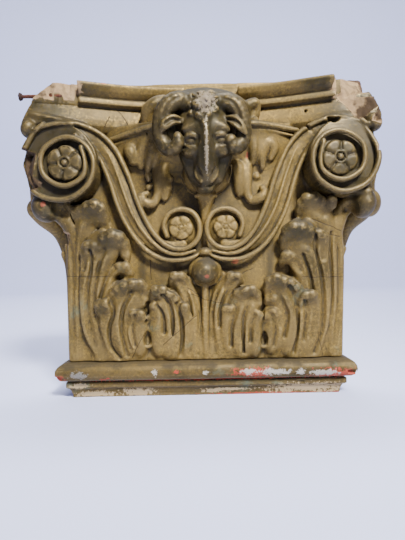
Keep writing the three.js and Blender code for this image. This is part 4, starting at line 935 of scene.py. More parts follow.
def model_capital(pitch, triangles):
    """The whole carved body, broken and cracked, with a seat for the board behind it."""
    clay = Clay((-186, -1.5, FOOT - 1.5), (186, 94, 292), pitch)
    model_bell(clay)
    model_abacus(clay)
    model_sides(clay)
    model_leaves(clay, LEFT_LEAVES)
    model_leaves(clay, RIGHT_LEAVES)
    model_middle(clay)
    for side in (-1, 1):
        model_under_volute(clay, side)
        model_corner_volute(clay, side)
        model_s_scroll(clay, side)
    model_sprays(clay)
    model_ram(clay)
    torn = []
    for i, (centre, sizes, roll, yaw, rough) in enumerate(BREAKS):
        cut = block(centre, sizes, math.radians(-roll), math.radians(yaw), rough, 11 + 7 * i)
        reach = np.full(3, max(sizes) * 1.25)
        clay.shape(np.array(centre) - reach, np.array(centre) + reach, cut, 0.4, carve=True)
        torn.append((cut, np.array(centre), reach))
    for rows in CRACKS:
        clay.strand(rows, 0.2, 3.0, carve=True)
    clay.lump((96, 47, 262), (1.3, 9, 1.3), 0.2, carve=True)
    clay.strand([(-170, 53, 277, 2.0), (-134, 53, 277, 2.0)], 0.2, carve=True)

    x, h, z = clay.lattice((slice(None),) * 3)
    clay.field = np.maximum(clay.field, np.maximum(-h, FOOT - z)).astype(np.float32)
    seat = block((0, 12, 300), (200, 12.4, 300 - BOARD_LOW.z + 0.4))
    clay.shape((-186, 0, 255), (186, 26, 292), seat, 0.0, carve=True)
    piece = clay.mesh("gilt_capital", triangles)
    spots = spots_of(piece)
    x, h, z = spots.T
    bare = np.zeros(len(spots), np.float32)
    for cut, centre, reach in torn:
        near = np.abs(cut(x, h, z))
        inside = np.all(np.abs(spots - centre) < reach + 2, axis=1)
        bare = np.where(inside, np.maximum(bare, 1 - smooth_step(0.5, 1.1, near)), bare)
    ragged = 1.6 * grain_noise(x, h, z, 4.0, 41)
    high = smooth_step(272.2, 273.2, z + ragged)
    outer = smooth_step(-107, -109, x + ragged - 0.4 * (z - 280))
    paint(piece, "bare", np.maximum(bare, high * outer * (h > 26)))
    paint(piece, "hollow", clay.hollowness(spots, 2.5))
    paint(piece, "relief", h - bell_front(x, np.minimum(z, 210)))
    return piece


# The moulding, the board and the nail

def profile_distance(corners):
    """The signed distance to a closed outline given as (out, height) corners, inside below zero."""
    corners = np.array(corners, float)

    def distance(out, z):
        out, z = np.broadcast_arrays(np.asarray(out, float), np.asarray(z, float))
        nearest = np.full(out.shape, 1e9)
        inside = np.zeros(out.shape, bool)
        for (ax, az), (bx, bz) in zip(corners, np.roll(corners, -1, axis=0)):
            ex, ez = bx - ax, bz - az
            t = np.clip(((out - ax) * ex + (z - az) * ez) / max(ex * ex + ez * ez, 1e-9), 0, 1)
            nearest = np.minimum(nearest, (out - ax - t * ex) ** 2 + (z - az - t * ez) ** 2)
            crosses = ((az <= z) & (z < bz)) | ((bz <= z) & (z < az))
            if abs(ez) > 1e-9:
                inside ^= crosses & (out < ax + (z - az) / ez * ex)
        return np.where(inside, -1, 1) * np.sqrt(nearest)

    return distance


# Chips in the base moulding: centre, width and depth
CHIPS = [((-12, 47.5, 30), 4, 1.6), ((60, 47.8, 26), 9, 1.0), ((96, 47.6, 22), 6, 1.2),
         ((134, 45, 23), 6, 1.6), ((-137, 45, 21), 5, 1.5), ((-62, 48, 25), 3.2, 1.4),
         ((-86, 38, 6), 10, 0.8), ((88, 39.5, 12), 4, 2.0), ((-118, 39, 12), 6, 1.6), ((-45, 37, 4), 5, 0.8),
         ((122, 36, 5), 8, 1.0), ((127, 35, 11), 4, 1.6)]


def model_moulding(pitch, triangles):
    """The base moulding, returned on both sides."""
    clay = Clay((-141, -1.5, -1.5), (141, 50, 36), pitch)
    outline = profile_distance(MOULDING_OUTLINE)

    def distance(x, h, z):
        out = np.maximum(np.abs(x) - MOULDING_HALF, h - MOULDING_DEPTH)
        wavy = 0.25 * grain_noise(x, h, z, 26.0, 3) + 0.12 * grain_noise(x, h, z, 7.0, 4)
        return np.maximum(np.maximum(outline(out, z) + wavy, -h), np.maximum(-z, z - MOULDING_TOP))

    clay.shape((-141, 0, 0), (141, 48, MOULDING_TOP), distance)
    for centre, across, deep in CHIPS:
        clay.lump(centre, (across, deep, across * 0.5), 0.3, carve=True)
    clay.strand([(140, 48, 27, 0.5), (150, 50, 22, 0.5)], 0.2, carve=True)
    piece = clay.mesh("gilt_base_moulding", triangles)
    paint(piece, "hollow", clay.hollowness(spots_of(piece), 2.0))
    return piece


def model_board(pitch, triangles):
    """The board behind the abacus, broken at both ends."""
    low = (BOARD_LOW.x, BACK - BOARD_HIGH.y, BOARD_LOW.z)
    high = (BOARD_HIGH.x, BACK - BOARD_LOW.y, BOARD_HIGH.z)
    clay = Clay(np.array(low) - 2, np.array(high) + 2, pitch)
    outline = profile_distance([(low[0], low[2]), (high[0], low[2]), (high[0] - 2, 272),
                                (high[0] - 5.5, high[2] - 1.6), (high[0] - 8, high[2]), (60, high[2] - 0.6),
                                (8, high[2] - 0.4), (-60, high[2] - 0.8), (-108, high[2] - 0.6),
                                (-128, high[2] - 5), (-140, high[2] - 9), (low[0], high[2] - 22)])

    def distance(x, h, z):
        torn = 0.9 * smooth_step(100, 112, np.abs(x)) * grain_noise(x, h, z, 5.0, 21)
        edge = outline(x + 0 * h, z + 0 * h) + 0.3 * grain_noise(x, h, z, 11.0, 20) + 0.2 + torn
        face = np.maximum(h - high[1] + 0.25 * grain_noise(x, h, z, 14.0, 22) + 0.25, low[1] - h)
        return soft_max(edge, face, 0.8)

    clay.shape(low, high, distance)
    piece = clay.mesh("back_board_wood", triangles)
    paint(piece, "hollow", clay.hollowness(spots_of(piece), 2.0))
    x = spots_of(piece)[:, 0]
    paint(piece, "bare", np.maximum(smooth_step(118, 126, x + 2 * np.sin(x * 3)), smooth_step(-108, -114, x)))
    return piece


def model_nail(pitch, triangles):
    """The nail, with its head to the left."""
    x0, middle, z = NAIL_LEFT, BACK - NAIL_MIDDLE.y, NAIL_MIDDLE.z
    clay = Clay((x0 - 1.5, middle - 6, z - 6), (x0 + 43, middle + 6, z + 6), pitch)

    def distance(x, h, z_):
        around = np.sqrt((h - middle) ** 2 + (z_ - z) ** 2)
        rust = 0.12 * grain_noise(x, h, z_, 1.6, 31) + 0.1 * grain_noise(x, h, z_, 4.0, 32)
        wire = np.maximum(around - 1.6, np.abs(x - x0 - 20) - 18.5)
        point = np.maximum(around - np.maximum(x0 + 40.6 - x, 0) * 0.4, x0 + 30 - x)
        head = np.maximum(around - 3.7 + 0.3 * (x - x0), np.abs(x - x0 - 1.2) - 0.9)
        return soft_min(np.maximum(wire, np.where(x > x0 + 36, point, wire)), head, 0.8) + rust

    clay.shape((x0, middle - 5, z - 5), (x0 + 41, middle + 5, z + 5), distance)
    piece = clay.mesh("rusty_nail", triangles)
    paint(piece, "hollow", clay.hollowness(spots_of(piece), 1.0))
    return piece


# Materials

FLOAT, VECTOR, COLOR = "NodeSocketFloat", "NodeSocketVector", "NodeSocketColor"
SHINE = 0.25        # how strongly every surface reflects where it isn't metal


class Nodes:
    """Short ways to place and join shader nodes in one tree."""

    def __init__(self, tree):
        self.tree = tree

    def add(self, kind, settings=None, **inputs):
        """A node with its settings and inputs; an underscore stands for a space."""
        node = self.tree.nodes.new(kind)
        for key, value in (settings or {}).items():
            setattr(node, key, value)
        for key, value in inputs.items():
            self.give(node.inputs[key.replace("_", " ")], value)
        return node

    def give(self, socket, value):
        """Links an output to a socket, or sets the socket's own value."""
        if isinstance(value, bpy.types.NodeSocket):
            self.tree.links.new(value, socket)
        else:
            socket.default_value = value

    def math(self, operation, a, b=0.0, clamp=False):
        node = self.tree.nodes.new("ShaderNodeMath")
        node.operation = operation
        node.use_clamp = clamp
        self.give(node.inputs[0], a)
        self.give(node.inputs[1], b)
        return node.outputs[0]

    def ramp(self, value, low, high, to_low=0.0, to_high=1.0):
        """A smooth rise from one value to another between two points."""
        node = self.add("ShaderNodeMapRange", {"interpolation_type": "SMOOTHSTEP"}, Value=value)
        for key, number in (("From Min", low), ("From Max", high), ("To Min", to_low), ("To Max", to_high)):
            self.give(node.inputs[key], number)
        return node.outputs["Result"]

    def vector(self, operation, a, b=None, c=None):
        """Vector arithmetic; both of the node's outputs."""
        node = self.add("ShaderNodeVectorMath", {"operation": operation})
        for i, value in enumerate((a, b, c)):
            if value is not None:
                self.give(node.inputs[i], value)
        return node.outputs

    def mix(self, share, a, b):
        """One colour turning into another."""
        node = self.add("ShaderNodeMix", {"data_type": "RGBA"})
        self.give(node.inputs[0], share)
        self.give(node.inputs[6], a)
        self.give(node.inputs[7], b)
        return node.outputs[2]

    def noise(self, where, scale, detail=4.0, rough=0.55):
        node = self.add("ShaderNodeTexNoise", Vector=where, Scale=scale, Detail=detail, Roughness=rough)
        return node.outputs["Fac"]

    def grain(self, where, scale, detail=5.0, rough=0.6):
        """Noise with its own scale along each axis."""
        place = self.add("ShaderNodeMapping", Vector=where, Scale=scale).outputs[0]
        return self.noise(place, 1.0, detail, rough)

    def part(self, vector, axis):
        """One of a vector's three parts."""
        return self.add("ShaderNodeSeparateXYZ", Vector=vector).outputs[axis]

    def over(self, color, mask, other, share=1.0):
        """The colour with another over it where the mask says."""
        return self.mix(mask if share == 1.0 else self.math("MULTIPLY", mask, share), color, other)

    def number(self, name):
        """A number stored on the piece's points."""
        return self.add("ShaderNodeAttribute", {"attribute_name": name}).outputs["Fac"]


def new_group(name, inputs, outputs):
    """A shader node group with named sockets; inputs give (kind, default)."""
    group = bpy.data.node_groups.new(name, "ShaderNodeTree")
    for key, (kind, default) in inputs.items():
        socket = group.interface.new_socket(key, in_out="INPUT", socket_type=kind)
        if default is not None:
            socket.default_value = default
    for key, kind in outputs.items():
        group.interface.new_socket(key, in_out="OUTPUT", socket_type=kind)
    entry = group.nodes.new("NodeGroupInput")
    leave = group.nodes.new("NodeGroupOutput")
    return group, Nodes(group), entry.outputs, leave.inputs


def aged_gilding_group():
    """Gilding gone dull with age, darker on what stands out and dusty where it faces up, with painted shade in
    the hollows and a painted highlight on the ridges.
    """
    group, n, give, take = new_group("Aged gilding", {
        "Position": (VECTOR, None), "Up": (FLOAT, 0.0), "Hollow": (FLOAT, 0.5), "Relief": (FLOAT, 0.0),
        "Gold": (COLOR, (0.4, 0.26, 0.09, 1)), "Bronze": (COLOR, (0.12, 0.09, 0.045, 1)),
        "Dust": (COLOR, (0.1, 0.085, 0.065, 1)), "Green": (COLOR, (0.12, 0.19, 0.13, 1)),
        "Dustiness": (FLOAT, 1.0),
    }, {"Color": COLOR, "Roughness": FLOAT, "Height": FLOAT, "Metal": FLOAT})
    where = give["Position"]
    broad = n.noise(where, 16.0, 3.0)
    cloud = n.noise(where, 55.0, 5.0, 0.6)
    fine = n.noise(where, 420.0, 4.0, 0.7)
    streak = n.grain(where, (260.0, 260.0, 60.0), 3.0, 0.55)
    gold = n.mix(n.ramp(broad, 0.35, 0.68), give["Gold"], n.mix(0.45, give["Gold"], give["Bronze"]))
    gold = n.mix(n.ramp(cloud, 0.45, 0.75, 0.0, 0.5), gold, give["Bronze"])
    standing = n.math("ADD", n.ramp(give["Relief"], 6.0, 20.0, 0.0, 0.88),
                      n.ramp(cloud, 0.3, 0.7, -0.14, 0.14), True)
    color = n.mix(standing, gold, give["Bronze"])
    # Painted highlight: ridges are lightened towards pale gold.
    ridge = n.ramp(give["Hollow"], 0.46, 0.34)
    color = n.over(color, ridge, n.mix(0.3, give["Gold"], (0.58, 0.42, 0.18, 1)), 0.4)
    # Painted shade: hollows are darkened towards near black.
    deep = n.ramp(give["Hollow"], 0.53, 0.68)
    color = n.over(color, deep, n.mix(0.5, give["Bronze"], (0.012, 0.011, 0.008, 1)), 0.75)
    ledge = n.ramp(n.math("ADD", give["Up"], n.ramp(cloud, 0.3, 0.7, -0.18, 0.18)), 0.35, 0.85)
    spotted = n.ramp(n.math("MULTIPLY", fine, cloud), 0.3, 0.24, 0.0, 0.35)
    dust = n.math("MULTIPLY", n.math("MAXIMUM", ledge, spotted), give["Dustiness"], True)
    color = n.over(color, dust, give["Dust"], 0.85)
    low = n.ramp(n.part(where, 2), 0.15, 0.05, 0.15, 1.0)
    green = n.math("MULTIPLY", n.ramp(n.noise(where, 38.0, 4.0, 0.6), 0.6, 0.74, 0.0, 0.5), low)
    color = n.mix(green, color, give["Green"])
    color = n.mix(n.ramp(fine, 0.3, 0.75, 0.35, 0.0), color, (0.03, 0.024, 0.015, 1))
    n.give(take["Color"], color)
    rough = n.math("ADD", n.ramp(cloud, 0.3, 0.7, 0.43, 0.58), n.math("MULTIPLY", dust, 0.35), True)
    n.give(take["Roughness"], n.math("SUBTRACT", rough, n.math("MULTIPLY", standing, 0.1), True))
    n.give(take["Metal"], n.math("SUBTRACT", 0.5, n.math("MULTIPLY", dust, 0.5), True))
    grain = n.math("ADD", n.math("MULTIPLY", fine, 0.5), n.math("MULTIPLY", streak, 0.35))
    n.give(take["Height"], n.math("ADD", grain, n.math("MULTIPLY", cloud, 1.2)))
    return group


def torn_face_group():
    """The pale ground and brown core that a break lays open."""
    group, n, give, take = new_group("Torn face", {
        "Position": (VECTOR, None), "Pale": (COLOR, (0.6, 0.42, 0.26, 1)),
        "Core": (COLOR, (0.13, 0.08, 0.05, 1)), "Core share": (FLOAT, 0.5),
    }, {"Color": COLOR, "Roughness": FLOAT, "Height": FLOAT})
    where = give["Position"]
    layers = n.add("ShaderNodeTexWave", {"wave_type": "BANDS", "bands_direction": "DIAGONAL"},
                   Vector=where, Scale=38.0, Distortion=9.0, Detail=3.0).outputs["Fac"]
    patch = n.noise(where, 34.0, 4.0, 0.6)
    fine = n.noise(where, 300.0, 5.0, 0.7)
    more = n.math("MULTIPLY", n.math("SUBTRACT", give["Core share"], 0.5), 0.6)
    core = n.ramp(n.math("ADD", patch, more), 0.5, 0.58)
    color = n.mix(core, give["Pale"], give["Core"])
    color = n.mix(n.ramp(layers, 0.62, 0.85, 0.0, 0.3), color, give["Core"])
    color = n.mix(n.ramp(fine, 0.35, 0.7, 0.0, 0.35), color, n.mix(0.6, color, (0.02, 0.015, 0.01, 1)))
    n.give(take["Color"], color)
    n.give(take["Roughness"], n.ramp(fine, 0.2, 0.8, 0.72, 0.95))
    n.give(take["Height"], n.math("ADD", n.math("MULTIPLY", fine, 1.4), n.math("MULTIPLY", layers, 0.7)))
    return group


def hairline_group():
    """A thin crack between two points of the face: 1 along it and 0 elsewhere."""
    group, n, give, take = new_group("Hairline", {
        "Position": (VECTOR, None), "Start": (VECTOR, (0, 0, 0)), "End": (VECTOR, (0, 0, 0)),
        "Width": (FLOAT, 0.0006),
    }, {"Mask": FLOAT})
    flat = n.vector("MULTIPLY", give["Position"], (1, 0, 1))[0]
    shake = n.add("ShaderNodeTexNoise", Vector=give["Position"], Scale=90.0, Detail=2.0).outputs["Color"]
    moved = n.vector("MULTIPLY_ADD", shake, (HAIRLINE_SHAKE, 0, HAIRLINE_SHAKE), flat)[0]
    from_start = n.vector("SUBTRACT", moved, give["Start"])[0]
    line = n.vector("SUBTRACT", give["End"], give["Start"])[0]
    along = n.math("DIVIDE", n.vector("DOT_PRODUCT", from_start, line)[1],
                   n.vector("DOT_PRODUCT", line, line)[1], True)
    foot = n.add("ShaderNodeVectorMath", {"operation": "SCALE"}, Scale=along)
    n.give(foot.inputs[0], line)
    gone = n.vector("LENGTH", n.vector("SUBTRACT", from_start, foot.outputs[0])[0])[1]
    n.give(take["Mask"], n.ramp(gone, give["Width"], n.math("MULTIPLY", give["Width"], 0.4)))
    return group


def wear_and_highlight_spot_group():
    """A patch with a ragged edge, 1 inside and 0 outside: mostly where a coat has come off, and once a painted
    highlight down the ram's muzzle.
    """
    group, n, give, take = new_group("Wear and highlight spot", {
        "Position": (VECTOR, None), "Centre": (VECTOR, (0, 0, 0)), "Reach": (VECTOR, (0.01, 1, 0.003)),
        "Raggedness": (FLOAT, 0.8),
    }, {"Mask": FLOAT})
    away = n.vector("SUBTRACT", give["Position"], give["Centre"])[0]
    gone = n.vector("LENGTH", n.vector("DIVIDE", away, give["Reach"])[0])[1]
    edge = n.math("SUBTRACT", n.noise(give["Position"], 380.0, 5.0, 0.7), 0.5)
    ragged = n.math("MULTIPLY", n.math("MULTIPLY", edge, give["Raggedness"]), 3.0)
    n.give(take["Mask"], n.ramp(n.math("ADD", gone, ragged), 1.05, 0.9))
    return group


GROUPS = {}


def groups():
    """The shared node groups, made once."""
    if not GROUPS:
        GROUPS.update(gilding=aged_gilding_group(), torn=torn_face_group(), hairline=hairline_group(),
                      spot=wear_and_highlight_spot_group())
    return GROUPS


def place_group(n, key, **inputs):
    """Places a shared group and gives its inputs; an underscore stands for a space."""
    node = n.tree.nodes.new("ShaderNodeGroup")
    node.node_tree = groups()[key]
    for name, value in inputs.items():
        n.give(node.inputs[name.replace("_", " ")], value)
    return node.outputs


def new_material(name):
    """An empty material: its shader, the place on the piece and the normal."""
    material = bpy.data.materials.new(name)
    material.use_nodes = True
    tree = material.node_tree
    tree.nodes.clear()
    n = Nodes(tree)
    shader = n.add("ShaderNodeBsdfPrincipled")
    shader.inputs["Specular IOR Level"].default_value = SHINE
    out = n.add("ShaderNodeOutputMaterial")
    tree.links.new(shader.outputs[0], out.inputs[0])
    where = n.add("ShaderNodeTexCoord").outputs["Object"]
    normal = n.add("ShaderNodeNewGeometry").outputs["Normal"]
    return material, n, shader, where, normal


def any_of(n, masks):
    """The strongest of some masks."""
    whole = masks[0]
    for mask in masks[1:]:
        whole = n.math("MAXIMUM", whole, mask)
    return whole


HAIRLINE_SHAKE = 0.003      # how far a hairline wanders, in metres

# Hairline cracks from one (across, height) to another, in metres
HAIRLINES = [
    ((-0.0788, 0.269), (-0.072, 0.261)), ((-0.072, 0.261), (-0.067, 0.252)),
    ((-0.0846, 0.2615), (-0.0895, 0.251)), ((-0.129, 0.1148), (-0.0862, 0.1138)),
    ((0.089, 0.1098), (0.129, 0.109)), ((-0.069, 0.0375), (-0.0565, 0.0595)),
    ((-0.039, 0.050), (-0.0225, 0.064)), ((-0.0225, 0.064), (-0.008, 0.0765)),
    ((-0.0145, 0.102), (0.0, 0.0905)), ((-0.0505, 0.128), (-0.050, 0.110)),
    ((0.0995, 0.1622), (0.1262, 0.1516)), ((0.115, 0.1485), (0.1255, 0.1465)),
    ((0.104, 0.059), (0.1092, 0.036)), ((0.0, 0.0905), (0.016, 0.0875)), ((-0.0125, 0.0965), (0.0, 0.0905)),
    ((0.0355, 0.1145), (0.046, 0.119)), ((-0.0635, 0.171), (-0.059, 0.1545)),
]
# Red spots on the body: centre and reach, in metres
RED_SPOTS = [((-0.1415, -0.040, 0.1795), (0.002, 0.03, 0.0024)),
             ((0.0025, -0.045, 0.1125), (0.002, 0.03, 0.002)), ((0.029, -0.03, 0.125), (0.003, 0.03, 0.002)),
             ((0.0415, -0.04, 0.2225), (0.0012, 0.03, 0.003)),
             ((-0.087, -0.04, 0.2885), (0.003, 0.04, 0.0012)), ((-0.158, -0.03, 0.236), (0.002, 0.04, 0.002))]


def gilding(n, where, normal, settings, relief, dustiness, share=1.0):
    """The aged gilding on a piece; share is how bright its gold still is."""
    return place_group(n, "gilding", Position=where, Up=n.part(normal, 2), Hollow=n.number("hollow"),
                       Relief=relief, Gold=(*(c * share for c in settings.gold), 1),
                       Bronze=(*settings.bronze, 1), Dust=(*settings.dust, 1), Dustiness=dustiness)


def spots_mask(n, where, spots, **more):
    """The mask of spots given as (centre, reach): worn spots, and the painted highlight down the ram's muzzle.
    """
    return any_of(n, [place_group(n, "spot", Position=where, Centre=centre, Reach=reach, **more)["Mask"]
                      for centre, reach in spots])


def finish_gilded(n, shader, gilt, color, covered, cover_roughness, height, strength=0.35):
    """Joins a gilded piece's colour and relief to its shader; covered is where the gilding is gone."""
    n.give(shader.inputs["Base Color"], color)
    n.give(shader.inputs["Metallic"],
           n.math("MULTIPLY", gilt["Metal"], n.math("SUBTRACT", 1.0, covered, True)))
    n.give(shader.inputs["Roughness"],
           n.math("MAXIMUM", gilt["Roughness"], n.math("MULTIPLY", covered, cover_roughness)))
    bump = n.add("ShaderNodeBump", Strength=strength, Distance=0.0006, Height=height)
    n.give(shader.inputs["Normal"], bump.outputs[0])


def gilt_material(settings):
    """The body's gilding, with torn corners, hairlines, worn spots, a painted highlight down the ram's muzzle
    and a raw wooden back.
    """
    material, n, shader, where, normal = new_material("worn_gilding")
    gilt = gilding(n, where, normal, settings, n.number("relief"), settings.dustiness)
    torn = place_group(n, "torn", Position=where, Pale=(*settings.plaster, 1), Core=(*settings.core, 1),
                       Core_share=0.52)
    bare = n.ramp(n.number("bare"), 0.4, 0.6)
    middle = HAIRLINE_SHAKE / 2
    lines = any_of(n, [place_group(n, "hairline", Position=where, Width=0.0005,
                                   Start=(a[0] + middle, 0, a[1] + middle),
                                   End=(b[0] + middle, 0, b[1] + middle))["Mask"] for a, b in HAIRLINES])
    tuft = spots_mask(n, where, [((0.004, -0.066, 0.258), (0.0075, 0.02, 0.0095))], Raggedness=1.5)
    # A lighter stripe down the ram's muzzle: a painted highlight.
    nose_highlight = spots_mask(n, where, [((0.0039, -0.062, 0.222), (0.0014, 0.03, 0.017))], Raggedness=1.9)
    color = n.over(gilt["Color"], tuft, (0.2, 0.155, 0.1, 1), 0.75)
    color = n.over(color, nose_highlight, (0.4, 0.33, 0.22, 1), 0.5)
    color = n.over(color, spots_mask(n, where, RED_SPOTS), (0.4, 0.07, 0.035, 1), 0.45)
    color = n.over(color, bare, torn["Color"])
    color = n.over(color, lines, (0.02, 0.013, 0.008, 1), 0.8)
    rear = n.ramp(n.part(normal, 1), 0.8, 0.95)
    wood = n.mix(n.grain(where, (30.0, 30.0, 260.0)), (0.22, 0.145, 0.085, 1), (0.36, 0.26, 0.16, 1))
    color = n.over(color, rear, wood)
    kept = n.math("SUBTRACT", 1.0, n.math("MULTIPLY", bare, 0.7))
    height = n.math("ADD", n.math("MULTIPLY", gilt["Height"], kept),
                    n.math("MULTIPLY", torn["Height"], n.math("MULTIPLY", bare, 2.0)))
    height = n.math("SUBTRACT", height, n.math("MULTIPLY", lines, 3.0))
    finish_gilded(n, shader, gilt, color, any_of(n, [bare, rear, tuft]), 0.85, height)
    return material


# Worn spots on the moulding: centre and reach, in metres
MOULDING_SPOTS = {
    "red": [((0.045, -0.031, 0.0235), (0.017, 0.02, 0.0042)), ((0.118, -0.029, 0.021), (0.02, 0.03, 0.0045)),
            ((-0.137, -0.027, 0.0195), (0.006, 0.03, 0.004)),
            ((-0.027, -0.031, 0.0255), (0.003, 0.02, 0.0014)),
            ((-0.095, -0.03, 0.0185), (0.003, 0.02, 0.0014)), ((0.0, -0.022, 0.0163), (0.09, 0.02, 0.0008)),
            ((0.07, -0.02, 0.0006), (0.06, 0.03, 0.0014)), ((-0.09, -0.03, 0.0205), (0.0015, 0.02, 0.001))],
    "white": [((0.040, -0.031, 0.0242), (0.006, 0.02, 0.0026)),
              ((0.062, -0.031, 0.0238), (0.012, 0.02, 0.0028)),
              ((0.087, -0.031, 0.0232), (0.004, 0.02, 0.0024)),
              ((0.108, -0.03, 0.0222), (0.012, 0.02, 0.0024)),
              ((-0.0465, -0.031, 0.0245), (0.0026, 0.02, 0.0028)),
              ((0.0, -0.031, 0.024), (0.003, 0.02, 0.0016))],
    "cream": [((-0.104, -0.019, 0.0028), (0.016, 0.02, 0.003)),
              ((-0.064, -0.019, 0.0042), (0.014, 0.02, 0.0038)),
              ((0.096, -0.02, 0.0058), (0.034, 0.02, 0.0046)), ((0.02, -0.021, 0.0055), (0.02, 0.02, 0.0012)),
              ((-0.118, -0.022, 0.0118), (0.008, 0.02, 0.0024)),
              ((0.006, -0.02, 0.0035), (0.012, 0.02, 0.001))],
    "grey": [((-0.118, -0.031, 0.0235), (0.0065, 0.02, 0.0032))],
}


def moulding_material(settings):
    """The moulding's gilding, worn through to its red, white and cream coats."""
    material, n, shader, where, normal = new_material("gilt_moulding")
    gilt = gilding(n, where, normal, settings, 4.0, 0.75, 0.56)
    masks = {key: spots_mask(n, where, spots, Raggedness=1.7) for key, spots in MOULDING_SPOTS.items()}
    color = n.over(gilt["Color"], masks["grey"], (0.3, 0.29, 0.26, 1), 0.5)
    color = n.over(color, masks["red"], (*settings.bole, 1), 0.8)
    color = n.over(color, masks["white"], (0.34, 0.305, 0.24, 1))
    color = n.over(color, masks["cream"], (0.33, 0.24, 0.12, 1))
    rear = n.ramp(n.part(normal, 1), 0.8, 0.95)
    under = n.ramp(n.math("MULTIPLY", n.part(normal, 2), -1.0), 0.8, 0.95)
    raw = n.math("MAXIMUM", rear, under)
    wood = n.mix(n.grain(where, (22.0, 300.0, 300.0)), (0.2, 0.13, 0.075, 1), (0.4, 0.29, 0.17, 1))
    color = n.over(color, raw, wood)
    worn = any_of(n, [masks["red"], masks["white"], masks["cream"]])
    height = n.math("SUBTRACT", gilt["Height"], n.math("MULTIPLY", worn, 1.5))
    finish_gilded(n, shader, gilt, color, n.math("MAXIMUM", worn, raw), 0.7, height)
    return material


def board_material(settings):
    """Gilding on the board's face and dark bare wood elsewhere."""
    material, n, shader, where, normal = new_material("old_wood")
    gilt = gilding(n, where, normal, settings, 3.0, 0.5)
    grain = n.grain(where, (18.0, 340.0, 340.0), 6.0, 0.62)
    wood = n.mix(n.ramp(grain, 0.3, 0.7), (0.035, 0.017, 0.010, 1), (0.12, 0.066, 0.036, 1))
    forward = n.math("MULTIPLY", n.part(normal, 1), -1.0)
    bare = n.math("MAXIMUM", n.number("bare"), n.math("SUBTRACT", 1.0, n.ramp(forward, 0.3, 0.6), True), True)
    height = n.math("ADD", n.math("MULTIPLY", grain, 1.6), gilt["Height"])
    finish_gilded(n, shader, gilt, n.over(gilt["Color"], bare, wood), bare, 0.8, height, 0.4)
    return material


def iron_material(settings):
    """Rust, darker on the nail's head."""
    material, n, shader, where, _ = new_material("rusty_iron")
    flake = n.noise(where, 700.0, 6.0, 0.7)
    patch = n.noise(where, 160.0, 3.0)
    along = n.part(where, 0)
    head = n.ramp(along, NAIL_LEFT / 1000 + 0.005, NAIL_LEFT / 1000 + 0.002)
    rust = n.mix(n.ramp(flake, 0.3, 0.7), (*settings.rust, 1), (0.12, 0.04, 0.02, 1))
    color = n.mix(n.ramp(patch, 0.5, 0.65, 0.0, 0.6), rust, (0.04, 0.025, 0.02, 1))
    color = n.over(color, head, (0.02, 0.014, 0.012, 1), 0.8)
    n.give(shader.inputs["Base Color"], color)
    shader.inputs["Metallic"].default_value = 0.25
    n.give(shader.inputs["Roughness"], n.ramp(flake, 0.2, 0.8, 0.6, 0.92))
    bump = n.add("ShaderNodeBump", Strength=0.6, Distance=0.0004, Height=n.math("ADD", flake, patch))
    n.give(shader.inputs["Normal"], bump.outputs[0])
    return material


# Stage

CAMERA_SHIFT = -0.0015      # the camera's place beside the middle, in metres


def add_lamp(name, place, target, size, power, spread=180):
    """A square area light that points at its target; spread is in degrees."""
    data = bpy.data.lights.new(name, "AREA")
    data.energy = power
    data.size = size
    data.spread = math.radians(spread)
    lamp = bpy.data.objects.new(name, data)
    lamp.location = Vector(place)
    lamp.rotation_euler = (target - lamp.location).to_track_quat("-Z", "Y").to_euler()
    bpy.context.scene.collection.objects.link(lamp)


def make_stage(settings):
    """A pale round floor that bends up into a wall, a key light, two soft lights and a backdrop light."""
    cloth = bpy.data.materials.new("pale_stage")
    cloth.use_nodes = True
    shader = cloth.node_tree.nodes["Principled BSDF"]
    shader.inputs["Base Color"].default_value = (*settings.floor, 1)
    shader.inputs["Roughness"].default_value = 0.9
    around, reach, bend, top = 72, 2.2, 1.2, 3.0
    rows = [(reach + bend * math.sin(a), bend * (1 - math.cos(a))) for a in np.linspace(0, math.pi / 2, 13)]
    rows.append((reach + bend, top))
    angles = [2 * math.pi * i / around for i in range(around)]
    points = [(r * math.cos(a), r * math.sin(a), z) for r, z in rows for a in angles]
    faces = [tuple(range(around))]
    for i in range(len(rows) - 1):
        for j in range(around):
            k = (j + 1) % around
            faces.append((i * around + k, i * around + j, (i + 1) * around + j, (i + 1) * around + k))
    mesh = bpy.data.meshes.new("pale_floor")
    mesh.from_pydata(points, [], faces)
    mesh.polygons.foreach_set("use_smooth", [True] * len(faces))
    mesh.materials.append(cloth)
    floor = bpy.data.objects.new("pale_floor", mesh)
    bpy.context.scene.collection.objects.link(floor)
    middle = (CAD_LOW + CAD_HIGH) / 2
    add_lamp("key", settings.key_place, middle, settings.key_size, settings.key_power, 60)
    add_lamp("fill", (-1.3, -1.2, 0.5), middle, 1.6, settings.fill_power)
    add_lamp("rear", (0.6, 1.3, 1.0), middle, 1.4, settings.fill_power)
    add_lamp("backdrop", (0, 0.7, 2.3), Vector((0, 3.2, 0.5)), 1.6, settings.backdrop_power)
    world = bpy.data.worlds.new("soft_room")
    world.use_nodes = True
    world.node_tree.nodes["Background"].inputs["Color"].default_value = (1.0, 0.97, 0.93, 1)
    world.node_tree.nodes["Background"].inputs["Strength"].default_value = settings.room_light
    bpy.context.scene.world = world


def make_camera(settings):
    """A camera in front of the capital, a little below its middle."""
    data = bpy.data.cameras.new("front_camera")
    data.lens = settings.lens
    data.clip_start = 0.01
    camera = bpy.data.objects.new("front_camera", data)
    middle = (CAD_LOW.x + CAD_HIGH.x) / 2
    camera.location = (middle + CAMERA_SHIFT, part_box("capital")[1].y - settings.distance, settings.eye_height)
    camera.rotation_mode = "XYZ"
    camera.rotation_euler = (math.radians(90), math.radians(settings.roll), 0)
    bpy.context.scene.collection.objects.link(camera)
    bpy.context.scene.camera = camera


# Add-on

